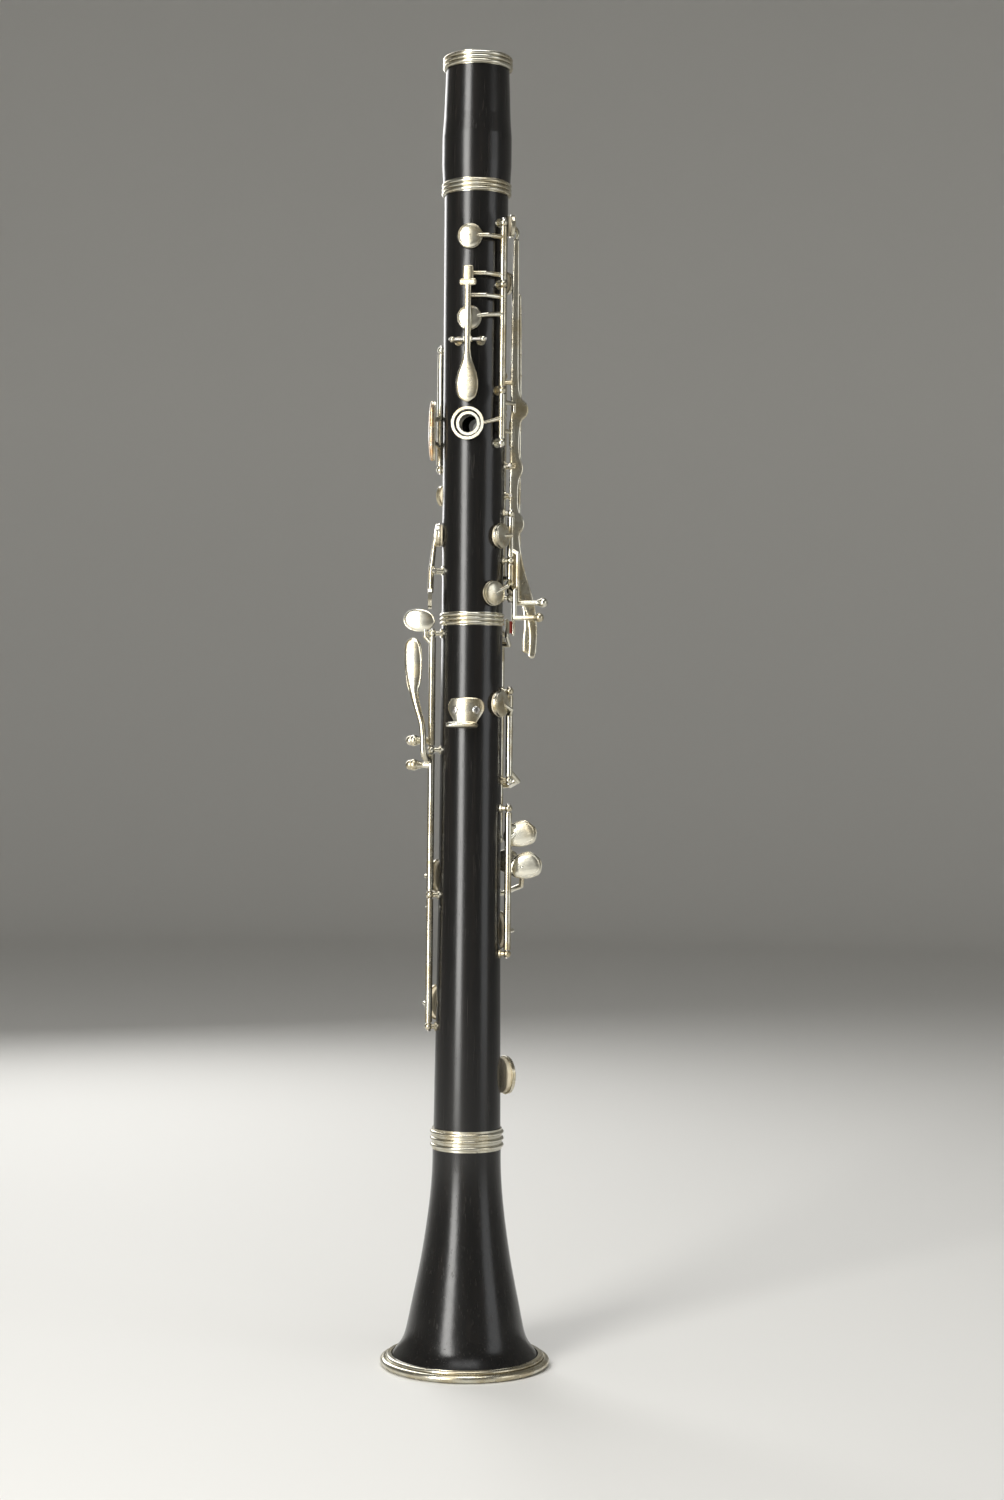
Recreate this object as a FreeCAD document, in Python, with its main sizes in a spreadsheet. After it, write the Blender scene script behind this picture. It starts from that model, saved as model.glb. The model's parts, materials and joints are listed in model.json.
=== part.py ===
import math
import os

import FreeCAD
import Part
import Sketcher
from FreeCAD import Placement, Rotation, Vector

# A B-flat clarinet without its mouthpiece, standing upright on its bell, in millimetres.
# The axis is Z and the rim of the bell lies in the plane Z = 0.
# Round the axis, an angle of 0 is the back, where the thumb works (-Y), 90 is the player's
# right (+X), 180 is the front with the tone holes (+Y) and -90 is the player's left (-X).
# Heights with the word "upper" are measured from the foot of the upper joint, and heights
# with the word "lower" from the foot of the lower joint.

doc = FreeCAD.newDocument("clarinet")
sheet = doc.addObject("Spreadsheet::Sheet", "Sizes")

DIMENSIONS = {
    # lengths of the four wooden pieces, as they show from outside
    "bell_length": 107.7,
    "lower_length": 234.5,
    "upper_length": 189.8,
    "barrel_length": 63.4,
    # outer radii of the wood
    "upper_top_radius": 14.5,
    "upper_foot_radius": 13.9,
    "lower_top_radius": 13.9,
    "lower_waist_radius": 14.2,
    "lower_waist_height": 100.0,
    "lower_foot_radius": 15.3,
    "barrel_end_radius": 14.4,
    "barrel_belly_radius": 15.75,
    "barrel_belly_height": 20.0,
    "bell_throat_radius": 15.6,
    "bell_rim_radius": 35.2,
    # bore, tenons and sockets
    "bore_radius": 7.4,
    "foot_bore_radius": 10.5,
    "socket_radius": 11.4,
    "socket_depth": 17.0,
    "foot_socket_radius": 12.7,
    "foot_socket_depth": 19.4,
    "tenon_gap": 0.4,
    "tenon_wall_gap": 0.7,
    "cork_gap": 0.05,
    "cork_height": 8.0,
    "cork_offset": 4.0,
    "barrel_bore_radius": 7.5,
    # rings
    "ring_height": 6.0,
    "barrel_ring_radius": 15.0,
    "lower_ring_radius": 13.9,
    "bell_ring_radius": 15.9,
    "bell_ring_height": 9.5,
    "bead_radius": 0.9,
    "ring_wall": 1.8,
    "rim_ring_height": 4.9,
    "rim_ring_radius": 38.6,
    # keywork
    "rod_radius": 1.0,
    "rod_gap": 0.05,
    "tube_radius": 1.6,
    "hinge_stand": 3.4,
    "ball_radius": 1.8,
    "stem_radius": 1.15,
    "foot_radius": 2.1,
    "foot_sink": 0.4,
    "foot_rise": 0.6,
    "stem_depth": 2.0,
    "end_gap": 0.12,
    "pad_show": 1.3,
    "pad_in_cup": 1.0,
    "cup_roof": 0.7,
    "cup_wall": 0.45,
    "cup_crown": 0.5,
    "pad_gap": 0.2,
    "seat_depth": 0.4,
    "large_seat_depth": 1.2,
    "ring_outer_radius": 7.45,
    "ring_inner_radius": 6.2,
    "ring_thickness": 1.4,
    "ring_stand": 3.0,
    "chimney_radius": 5.3,
    "chimney_hole_radius": 3.6,
    "chimney_stand": 1.9,
    "thumb_tube_radius": 5.4,
    "thumb_hole_radius": 4.15,
    "thumb_tube_stand": 2.1,
    "vent_tube_radius": 2.5,
    "vent_hole_radius": 1.3,
    # lever plates
    "side_lever_width": 2.6,
    "side_lever_thickness": 1.6,
    "side_lever_stand": 5.6,
    "lever_stand": 5.2,
    "lever_width": 2.8,
    "lever_thickness": 1.4,
    "leaf_thickness": 1.7,
    "small_ball_radius": 1.35,
    # thumb rest
    "rest_height": 190.6,
    "rest_width": 16.4,
    "rest_plate_height": 10.5,
    "rest_thickness": 1.6,
    "rest_screw_radius": 1.7,
    "rest_screw_spread": 4.8,
    "hook_width": 13.0,
    "hook_reach": 15.0,
    "hook_thickness": 2.6,
}


def fill_sheet():
    """Write every driving size into the spreadsheet, under its own alias."""
    for row, (alias, amount) in enumerate(DIMENSIONS.items(), start=1):
        sheet.set(f"A{row}", alias)
        sheet.set(f"B{row}", str(amount))
        sheet.setAlias(f"B{row}", alias)
    doc.recompute()


fill_sheet()


def size(alias):
    """The value of one cell of the sheet."""
    return float(sheet.get(alias))


def cell(alias):
    """The expression that binds a property to one cell of the sheet."""
    return f"Sizes.{alias}"


LOWER_FOOT = size("bell_length")
UPPER_FOOT = LOWER_FOOT + size("lower_length")
UPPER_TOP = UPPER_FOOT + size("upper_length")
BARREL_TOP = UPPER_TOP + size("barrel_length")


def upper(height):
    """A height on the upper joint, from the rim of the bell."""
    return UPPER_FOOT + height


def lower(height):
    """A height on the lower joint, from the rim of the bell."""
    return LOWER_FOOT + height


def wood_radius(height):
    """The outer radius of the two joints at a height above the rim of the bell."""
    stations = [
        (LOWER_FOOT, size("lower_foot_radius")),
        (lower(size("lower_waist_height")), size("lower_waist_radius")),
        (UPPER_FOOT, size("lower_top_radius")),
        (UPPER_TOP, size("upper_top_radius")),
    ]
    for (low, low_radius), (high, high_radius) in zip(stations, stations[1:]):
        if height <= high:
            share = (height - low) / (high - low)
            return low_radius + share * (high_radius - low_radius)
    return size("upper_top_radius")


def outward(angle):
    """The level direction that points away from the axis at an angle."""
    return Vector(math.sin(math.radians(angle)), -math.cos(math.radians(angle)), 0)


def around(angle):
    """The level direction in which the angle grows."""
    return Vector(math.cos(math.radians(angle)), math.sin(math.radians(angle)), 0)


def spot(angle, radius, height):
    """A point at an angle, a distance from the axis and a height."""
    return outward(angle) * radius + Vector(0, 0, height)


UP = Vector(0, 0, 1)
KNEE_SHARE = 1.03
BEAD_FOOT = 0.19
BEAD_STEP = 0.31


# ---------------------------------------------------------------- basic solids

def bind(thing, prop, amount):
    """Bind a property to the sheet, or set it where the amount is worked out from places."""
    if isinstance(amount, str):
        thing.setExpression(prop, amount)
    else:
        setattr(thing, prop, amount)


def aimed(start, along):
    """The placement that turns +Z to a direction and moves the origin to a point."""
    return Placement(start, Rotation(UP, along))


def cylinder(start, along, radius, length):
    thing = doc.addObject("Part::Cylinder", "Cylinder")
    bind(thing, "Radius", radius)
    bind(thing, "Height", length)
    thing.Placement = aimed(start, along)
    return thing


def cone(start, along, radius, end_radius, length):
    thing = doc.addObject("Part::Cone", "Cone")
    bind(thing, "Radius1", radius)
    bind(thing, "Radius2", end_radius)
    bind(thing, "Height", length)
    thing.Placement = aimed(start, along)
    return thing


def ball(centre, radius):
    thing = doc.addObject("Part::Sphere", "Ball")
    bind(thing, "Radius", radius)
    thing.Placement = Placement(centre, Rotation())
    return thing


def torus(centre, radius, tube):
    thing = doc.addObject("Part::Torus", "Torus")
    bind(thing, "Radius1", radius)
    bind(thing, "Radius2", tube)
    thing.Placement = Placement(centre, Rotation())
    return thing


def turn(across, along):
    """The rotation that carries X to one direction and Z to another, square to it."""
    return Rotation(across, along.cross(across), along, "XZY")


def plate(centre, across, facing, width, length, thickness):
    """A flat box: its width runs across, its thickness faces outward, both about its centre."""
    thing = doc.addObject("Part::Box", "Plate")
    bind(thing, "Length", width)
    bind(thing, "Width", length)
    bind(thing, "Height", thickness)
    doc.recompute([thing])
    rotation = turn(across, facing)
    half = Vector(thing.Length.Value / 2, thing.Width.Value / 2, thing.Height.Value / 2)
    thing.Placement = Placement(centre - rotation.multVec(half), rotation)
    return thing


def oval(centre, longways, facing, half_length, half_width, thickness):
    """An oval plate with its long half-axis longways and its thickness about its centre."""
    outline = doc.addObject("Part::Ellipse", "Oval")
    outline.MajorRadius = half_length
    outline.MinorRadius = half_width
    rotation = turn(longways, facing)
    outline.Placement = Placement(centre - facing * (size(thickness) / 2), rotation)
    thing = doc.addObject("Part::Extrusion", "OvalPlate")
    thing.Base = outline
    thing.DirMode = "Custom"
    thing.Dir = facing
    thing.Solid = True
    bind(thing, "LengthFwd", cell(thickness))
    return thing


def fused(pieces, label="Fusion"):
    if len(pieces) == 1:
        pieces[0].Label = label
        return pieces[0]
    thing = doc.addObject("Part::MultiFuse", "Fusion")
    thing.Shapes = pieces
    thing.Label = label
    return thing


def cut(base, tools, label="Cut"):
    thing = doc.addObject("Part::Cut", "Cut")
    thing.Base = base
    thing.Tool = tools[0] if len(tools) == 1 else fused(tools)
    thing.Label = label
    return thing


def gathered(pieces, label):
    """Separate solids that are kept together under one name."""
    thing = doc.addObject("Part::Compound", "Group")
    thing.Links = pieces
    thing.Label = label
    return thing


def bend(start, point, following, radius):
    """The ball where a bar bends or ends. Its own axis lies along the run that comes in, and
    the seam of its surface on the inner side of the bend."""
    run = point - start
    onward = following - point if following else UP
    across = onward - run * (onward.dot(run) / run.dot(run))
    if across.Length < 1e-6:
        across = run.cross(Vector(0.3, 0.5, 0.8))
    thing = ball(point, radius * KNEE_SHARE)
    thing.Placement = Placement(point, turn(across, run))
    return thing


def bar(points, radii):
    """A round bar through points, tapering from one radius to the next, with round knees."""
    pieces = []
    for (start, start_radius), (end, end_radius) in zip(
        zip(points, radii), zip(points[1:], radii[1:])
    ):
        run = end - start
        if abs(start_radius - end_radius) < 1e-6:
            pieces.append(cylinder(start, run, start_radius, run.Length))
        else:
            pieces.append(cone(start, run, start_radius, end_radius, run.Length))
    following = points[2:] + [None]
    for start, point, onward, radius in zip(points, points[1:], following, radii[1:]):
        pieces.append(bend(start, point, onward, radius))
    return pieces


def turned(label, outline):
    """A turned body: an outline of (radius, height) expressions, revolved about the axis."""
    body = doc.addObject("PartDesign::Body", "Turned")
    sketch = body.newObject("Sketcher::SketchObject", "Outline")
    plane = [item for item in body.Origin.OriginFeatures if item.Role == "XZ_Plane"][0]
    sketch.AttachmentSupport = [(plane, "")]
    sketch.MapMode = "FlatFace"
    probe = doc.addObject("App::FeaturePython", "Probe")
    probe.addProperty("App::PropertyFloat", "Reading")
    corners = []
    for radius, height in outline:
        reading = []
        for text in (radius, height):
            probe.setExpression("Reading", text)
            doc.recompute([probe])
            reading.append(probe.Reading)
        corners.append(Vector(reading[0], reading[1], 0))
    doc.removeObject(probe.Name)
    for start, end in zip(corners, corners[1:] + corners[:1]):
        sketch.addGeometry(Part.LineSegment(start, end), False)
    count = len(corners)
    for index in range(count):
        following = (index + 1) % count
        sketch.addConstraint(Sketcher.Constraint("Coincident", index, 2, following, 1))
    for index, (radius, height) in enumerate(outline):
        sketch.addConstraint(
            Sketcher.Constraint("DistanceX", -1, 1, index, 1, corners[index].x))
        sketch.renameConstraint(sketch.ConstraintCount - 1, f"radius{index}")
        sketch.setExpression(f"Constraints.radius{index}", radius)
        if height == "0":
            sketch.addConstraint(Sketcher.Constraint("PointOnObject", index, 1, -1))
            continue
        sketch.addConstraint(
            Sketcher.Constraint("DistanceY", -1, 1, index, 1, corners[index].y))
        sketch.renameConstraint(sketch.ConstraintCount - 1, f"height{index}")
        sketch.setExpression(f"Constraints.height{index}", height)
    spin = body.newObject("PartDesign::Revolution", "Spin")
    spin.Profile = sketch
    spin.ReferenceAxis = (sketch, ["V_Axis"])
    spin.Angle = 360
    body.Label = label
    return body


# ---------------------------------------------------------------- parts of a key



class Rod:
    """A steel rod beside the wood, between ball-headed posts, that keys turn on."""

    def __init__(self, angle, posts):
        self.angle = angle
        self.posts = sorted(posts)
        self.radius = wood_radius(self.posts[0]) + size("hinge_stand")

    def at(self, height):
        return spot(self.angle, self.radius, height)

    def beside(self, right, front, height):
        """A point level with a height, to the right and to the front of the rod."""
        return self.at(height) + Vector(right, front, 0)

    def steel(self):
        low, high = self.posts[0], self.posts[-1]
        over = size("ball_radius") + 0.3
        return cylinder(self.at(low - over), UP, cell("rod_radius"), high - low + 2 * over)

    def tube(self, low, high):
        """The hinge tube of one key, ending just clear of the balls beside it."""
        return cylinder(self.at(low), UP, cell("tube_radius"), high - low)

    def bore(self, low, high):
        return cylinder(self.at(low - 1), UP, "Sizes.rod_radius + Sizes.rod_gap", high - low + 2)

    def post_places(self):
        return [(self.angle, self.radius, height) for height in self.posts]


def clear_of_posts(low, high):
    """The run of a hinge tube between two posts."""
    gap = size("ball_radius") + size("end_gap")
    return low + gap, high - gap


class Pad:
    """A pad in its cup, square to the wood at an angle and a height."""

    def __init__(self, angle, height, radius, raised=0.0, depth="seat_depth"):
        self.angle = angle
        self.height = height
        self.radius = radius
        self.seat = wood_radius(height) - size(depth)
        self.facing = outward(angle)
        self.face = self.seat + size("pad_gap") + raised
        self.scale = 1.0 if radius < 7 else 1.5
        self.top = self.face + self.scale * size("pad_show") + size("pad_in_cup") + size("cup_roof")

    def point(self, radius):
        return spot(self.angle, radius, self.height)

    def cup(self):
        start = self.face + self.scale * size("pad_show")
        wall = size("cup_wall")
        return [
            cylinder(self.point(start), self.facing, self.radius + wall, self.top - start),
            cone(self.point(self.top), self.facing, self.radius + wall,
                 0.45 * self.radius, cell("cup_crown")),
        ]

    def hollow(self):
        start = self.face + self.scale * size("pad_show")
        return cylinder(self.point(start - 0.5), self.facing, self.radius + 0.03,
                        size("pad_in_cup") + 0.5)

    def felt(self, label):
        deep = self.scale * size("pad_show") + size("pad_in_cup")
        thing = cylinder(self.point(self.face), self.facing, self.radius, deep)
        thing.Label = label
        return thing

    def seat_cutters(self):
        """The flat seat in the wood and the tone hole under the pad."""
        hole = 0.6 * self.radius
        return [
            cylinder(self.point(self.seat), self.facing, self.radius + 1.0, 6.0),
            cylinder(self.point(4.0), self.facing, hole, self.seat),
        ]

    def arm_from(self, rod, height, bulge=0.9):
        """An arched arm from a hinge tube to the top of the cup."""
        middle = (rod.angle + self.angle) / 2
        if abs(rod.angle - self.angle) > 180:
            middle += 180
        points = [
            rod.at(height),
            spot(middle, rod.radius + bulge, (height + self.height) / 2),
            self.point(self.top + 0.1),
        ]
        return bar(points, [1.15, 1.0, 0.85])


class Ring:
    """A finger ring that lies round a raised tone hole."""

    def __init__(self, angle, height):
        self.angle = angle
        self.height = height
        self.middle = wood_radius(height) + size("ring_stand")
        self.facing = outward(angle)

    def solid(self):
        start = self.middle - size("ring_thickness") / 2
        return cylinder(spot(self.angle, start, self.height), self.facing,
                        cell("ring_outer_radius"), cell("ring_thickness"))

    def hollow(self):
        start = self.middle - size("ring_thickness")
        return cylinder(spot(self.angle, start, self.height), self.facing,
                        cell("ring_inner_radius"), "2 * Sizes.ring_thickness")

    def arm_from(self, rod, drop=0.0):
        side = 1 if math.sin(math.radians(rod.angle - self.angle)) > 0 else -1
        rim = (size("ring_outer_radius") + size("ring_inner_radius")) / 2
        touch = spot(self.angle, self.middle, self.height) + around(self.angle) * side * rim
        return bar([rod.at(self.height + drop), touch], [1.2, 0.6])


def key(label, solids, hollows):
    """A key: its soldered pieces as one solid, less its bores and the room for its pad."""
    return cut(fused(solids), hollows, label)


def post(angle, radius, height, ball_size="ball_radius"):
    """A ball-headed post, screwed into the wood square to the axis."""
    wood = wood_radius(height)
    start = wood - size("stem_depth")
    return [
        cylinder(spot(angle, start, height), outward(angle), cell("stem_radius"),
                 radius - start),
        cylinder(spot(angle, wood - size("foot_sink"), height), outward(angle),
                 cell("foot_radius"), "Sizes.foot_sink + Sizes.foot_rise"),
        ball(spot(angle, radius, height), cell(ball_size)),
    ]


def post_cutters(angle, height):
    """The hole and the counterbore in the wood that take one post."""
    wood = wood_radius(height)
    start = wood - size("stem_depth")
    return [
        cylinder(spot(angle, start, height), outward(angle), cell("stem_radius"), 6.0),
        cylinder(spot(angle, wood - size("foot_sink"), height), outward(angle),
                 cell("foot_radius"), 4.0),
    ]


# ---------------------------------------------------------------- where the keywork stands

VENT_ROD = Rod(55, [upper(76.4), upper(100.1), upper(148.0), upper(175.8)])
RING_ROD = Rod(140, [upper(13.0), upper(92.0), upper(110.0)])
THROAT_ROD = Rod(-108, [upper(66.0), upper(121.0)])
SLIVER_ROD = Rod(-138, [upper(36.5), upper(61.0)])
SIDE_ROD = Rod(91, [upper(7.0), upper(24.0), upper(45.5)])
LOWER_RING_ROD = Rod(140, [lower(131.0), lower(225.5)])
BANANA_ROD = Rod(95, [lower(158.5), lower(199.0)])
A_FLAT_ROD = Rod(87, [lower(79.5), lower(145.7)])
FRONT_ROD = Rod(173, [lower(14.0), lower(111.0), lower(133.0)])
LEFT_ROD = Rod(-72, [lower(46.0), lower(106.0), lower(172.0), lower(225.0)])
UPPER_RODS = [VENT_ROD, RING_ROD, THROAT_ROD, SLIVER_ROD, SIDE_ROD]
LOWER_RODS = [LOWER_RING_ROD, BANANA_ROD, A_FLAT_ROD, FRONT_ROD, LEFT_ROD]

register_pad = Pad(0, upper(169.1), 4.9)
b_flat_pad = Pad(0, upper(132.3), 4.8)
front_vent_pad = Pad(180, upper(101.0), 4.0, raised=1.1)
upper_ring_pad = Pad(180, upper(71.5), 4.3, raised=1.1)
throat_a_pad = Pad(180, upper(141.0), 4.6)
throat_g_sharp_pad = Pad(-140, upper(112.0), 4.6)
high_trill_pad = Pad(105, upper(177.0), 4.6)
low_trill_pad = Pad(129, upper(152.0), 4.6)
side_b_flat_pad = Pad(65, upper(34.7), 5.0)
side_f_sharp_pad = Pad(48, upper(8.5), 4.95)
c_sharp_pad = Pad(-80, upper(35.4), 4.8)
left_sliver_pad = Pad(-108, upper(54.0), 4.2)
lower_ring_pad = Pad(180, lower(212.0), 5.2, raised=1.1)
banana_pad = Pad(68, lower(193.1), 5.3)
f_sharp_pad = Pad(-105, lower(114.2), 7.0)
a_flat_pad = Pad(125, lower(89.6), 8.1, depth="large_seat_depth")
f_pad = Pad(-120, lower(55.8), 7.6, raised=1.4)
e_pad = Pad(125, lower(22.9), 8.1, raised=1.8)

UPPER_PADS = [
    register_pad, b_flat_pad, front_vent_pad, upper_ring_pad, throat_a_pad, throat_g_sharp_pad,
    high_trill_pad, low_trill_pad, side_b_flat_pad, side_f_sharp_pad, c_sharp_pad,
    left_sliver_pad,
]
LOWER_PADS = [lower_ring_pad, banana_pad, f_sharp_pad, a_flat_pad, f_pad, e_pad]

thumb_ring = Ring(0, upper(84.6))
first_ring = Ring(180, upper(86.0))
second_ring = Ring(180, upper(57.0))
lower_rings = [Ring(180, lower(height)) for height in (192.0, 169.0, 143.0)]
OPEN_HOLE_HEIGHT = upper(33.0)


class Saw:
    """A see-saw pivot: a short level pin between two small posts, square to the wood."""

    def __init__(self, angle, offset, stand, height, spread):
        middle = wood_radius(height) + stand
        self.centre = outward(angle) * middle + around(angle) * offset + Vector(0, 0, height)
        self.along = around(angle)
        self.spread = spread
        self.height = height

    def end(self, side):
        return self.centre + self.along * side * self.spread

    def post_places(self):
        places = []
        for side in (-1, 1):
            point = self.end(side)
            angle = math.degrees(math.atan2(point.x, -point.y))
            places.append((angle, math.hypot(point.x, point.y), self.height))
        return places

    def pin(self):
        over = size("small_ball_radius") + 0.25
        start = self.end(-1) - self.along * over
        return cylinder(start, self.along, 0.7, 2 * (self.spread + over))

    def lug(self, length):
        return cylinder(self.centre - self.along * (length / 2), self.along, 1.3, length)

    def bore(self):
        start = self.end(-1)
        return cylinder(start, self.along, 0.74, 2 * self.spread)


REGISTER_SAW = Saw(0, 0, 4.6, upper(122.0), 7.0)
THROAT_A_SAW = Saw(180, 0, 3.6, upper(127.0), 4.6)
C_SHARP_SAW = Saw(-80, 0, 3.4, upper(19.0), 4.6)
HIGH_TRILL_SAW = Saw(90, 4.4, 2.3, upper(67.4), 3.6)
LOW_TRILL_SAW = Saw(90, 8.2, 2.3, upper(54.0), 3.6)
SAWS = [REGISTER_SAW, THROAT_A_SAW, C_SHARP_SAW, HIGH_TRILL_SAW, LOW_TRILL_SAW]


def report_pivots():
    """Print each pivot's place, for whoever writes down the joints."""
    for name, rod in (("vent", VENT_ROD), ("ring", RING_ROD), ("throat", THROAT_ROD),
                      ("sliver", SLIVER_ROD), ("side", SIDE_ROD),
                      ("lower ring", LOWER_RING_ROD), ("banana", BANANA_ROD),
                      ("a flat", A_FLAT_ROD), ("front", FRONT_ROD), ("left", LEFT_ROD)):
        point = rod.at(rod.posts[0])
        print(f"rod {name}: {point.x:.4f} {point.y:.4f} {point.z:.3f}")
    for name, saw in (("register", REGISTER_SAW), ("throat a", THROAT_A_SAW),
                      ("c sharp", C_SHARP_SAW), ("high trill", HIGH_TRILL_SAW),
                      ("low trill", LOW_TRILL_SAW)):
        print(f"pin {name}: {saw.centre.x:.4f} {saw.centre.y:.4f} {saw.centre.z:.3f}"
              f" along {saw.along.x:.5f} {saw.along.y:.5f}")


report_pivots()


# ---------------------------------------------------------------- wood

def chimney(angle, height):
    """A raised wooden rim round a finger hole."""
    return cylinder(spot(angle, 10.0, height), outward(angle), cell("chimney_radius"),
                    wood_radius(height) + size("chimney_stand") - 10.0)


def finger_hole(angle, height, radius):
    return cylinder(spot(angle, 4.0, height), outward(angle), radius, 20.0)


def all_post_places(rods, saws):
    large = [place for rod in rods for place in rod.post_places()]
    small = [place for saw in saws for place in saw.post_places()]
    return large, small


def make_upper_joint():
    foot = "Sizes.bell_length + Sizes.lower_length"
    top = foot + " + Sizes.upper_length"
    tenon = "Sizes.socket_radius - Sizes.tenon_wall_gap"
    reach = "Sizes.socket_depth - Sizes.tenon_gap"
    turning = turned("upper_turning", [
        ("Sizes.bore_radius", f"{foot} - ({reach})"),
        (tenon, f"{foot} - ({reach})"),
        (tenon, foot),
        ("Sizes.upper_foot_radius", foot),
        ("Sizes.upper_top_radius", top),
        (tenon, top),
        (tenon, f"{top} + {reach}"),
        ("Sizes.bore_radius", f"{top} + {reach}"),
    ])
    holes = [ring for ring in (first_ring, second_ring)]
    rims = [chimney(180, ring.height) for ring in holes] + [chimney(180, OPEN_HOLE_HEIGHT)]
    bore = cylinder(Vector(0, 0, UPPER_FOOT - 20), UP, cell("bore_radius"),
                    size("upper_length") + 40)
    tools = [bore]
    tools += [finger_hole(180, ring.height, cell("chimney_hole_radius")) for ring in holes]
    tools.append(finger_hole(180, OPEN_HOLE_HEIGHT, cell("chimney_hole_radius")))
    tools.append(finger_hole(0, thumb_ring.height, cell("thumb_tube_radius")))
    for pad in UPPER_PADS:
        tools += vent_cutters(pad) if pad in (register_pad, b_flat_pad) else pad.seat_cutters()
    large, small = all_post_places(UPPER_RODS, SAWS)
    for angle, radius, height in large + small:
        tools += post_cutters(angle, height)
    return cut(fused([turning] + rims), tools, "upper_joint")


def vent_cutters(pad):
    """The flat seat and the hole for a metal vent tube."""
    return [
        cylinder(pad.point(pad.seat), pad.facing, pad.radius + 1.0, 6.0),
        cylinder(pad.point(4.0), pad.facing, cell("vent_tube_radius"), pad.seat),
    ]


def make_lower_joint():
    foot = "Sizes.bell_length"
    top = foot + " + Sizes.lower_length"
    tenon = "Sizes.foot_socket_radius - Sizes.tenon_wall_gap"
    reach = "Sizes.foot_socket_depth - Sizes.tenon_gap"
    turning = turned("lower_turning", [
        ("Sizes.foot_bore_radius", f"{foot} - ({reach})"),
        (tenon, f"{foot} - ({reach})"),
        (tenon, foot),
        ("Sizes.lower_foot_radius", foot),
        ("Sizes.lower_waist_radius", f"{foot} + Sizes.lower_waist_height"),
        ("Sizes.lower_top_radius", f"{top} - Sizes.ring_height"),
        ("Sizes.lower_ring_radius - Sizes.ring_wall", f"{top} - Sizes.ring_height"),
        ("Sizes.lower_ring_radius - Sizes.ring_wall", top),
        ("Sizes.socket_radius", top),
        ("Sizes.socket_radius", f"{top} - Sizes.socket_depth"),
        ("Sizes.bore_radius", f"{top} - Sizes.socket_depth"),
        ("Sizes.bore_radius", f"{foot} + Sizes.lower_waist_height"),
    ])
    rims = [chimney(180, ring.height) for ring in lower_rings]
    flare = cone(Vector(0, 0, LOWER_FOOT - 19.5), UP, size("foot_bore_radius"),
                 size("bore_radius"), size("lower_waist_height") + 19.5)
    straight = cylinder(Vector(0, 0, lower(size("lower_waist_height")) - 1), UP,
                        cell("bore_radius"), size("lower_length") -
                        size("lower_waist_height"))
    tools = [flare, straight]
    tools += [finger_hole(180, ring.height, cell("chimney_hole_radius")) for ring in lower_rings]
    for pad in LOWER_PADS:
        tools += pad.seat_cutters()
    large, small = all_post_places(LOWER_RODS, [])
    for angle, radius, height in large:
        tools += post_cutters(angle, height)
    for side in (-1, 1):
        tools.append(rest_screw_cutter(side))
    return cut(fused([turning] + rims), tools, "lower_joint")


def make_barrel():
    foot = "Sizes.bell_length + Sizes.lower_length + Sizes.upper_length"
    top = foot + " + Sizes.barrel_length"
    return turned("barrel", [
        ("Sizes.socket_radius", foot),
        ("Sizes.barrel_ring_radius - Sizes.ring_wall", foot),
        ("Sizes.barrel_ring_radius - Sizes.ring_wall", f"{foot} + Sizes.ring_height"),
        ("Sizes.barrel_end_radius + 0.9", f"{foot} + Sizes.ring_height"),
        ("Sizes.barrel_belly_radius", f"{foot} + 0.7 * Sizes.barrel_belly_height"),
        ("Sizes.barrel_belly_radius", f"{foot} + 1.35 * Sizes.barrel_belly_height"),
        ("Sizes.barrel_end_radius + 0.7", f"{foot} + 1.8 * Sizes.barrel_belly_height"),
        ("Sizes.barrel_end_radius", f"{top} - Sizes.ring_height"),
        ("Sizes.barrel_ring_radius - Sizes.ring_wall", f"{top} - Sizes.ring_height"),
        ("Sizes.barrel_ring_radius - Sizes.ring_wall", top),
        ("Sizes.socket_radius", top),
        ("Sizes.socket_radius", f"{top} - Sizes.socket_depth"),
        ("Sizes.barrel_bore_radius", f"{top} - Sizes.socket_depth"),
        ("Sizes.barrel_bore_radius", f"{foot} + Sizes.socket_depth"),
        ("Sizes.socket_radius", f"{foot} + Sizes.socket_depth"),
    ])


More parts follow.
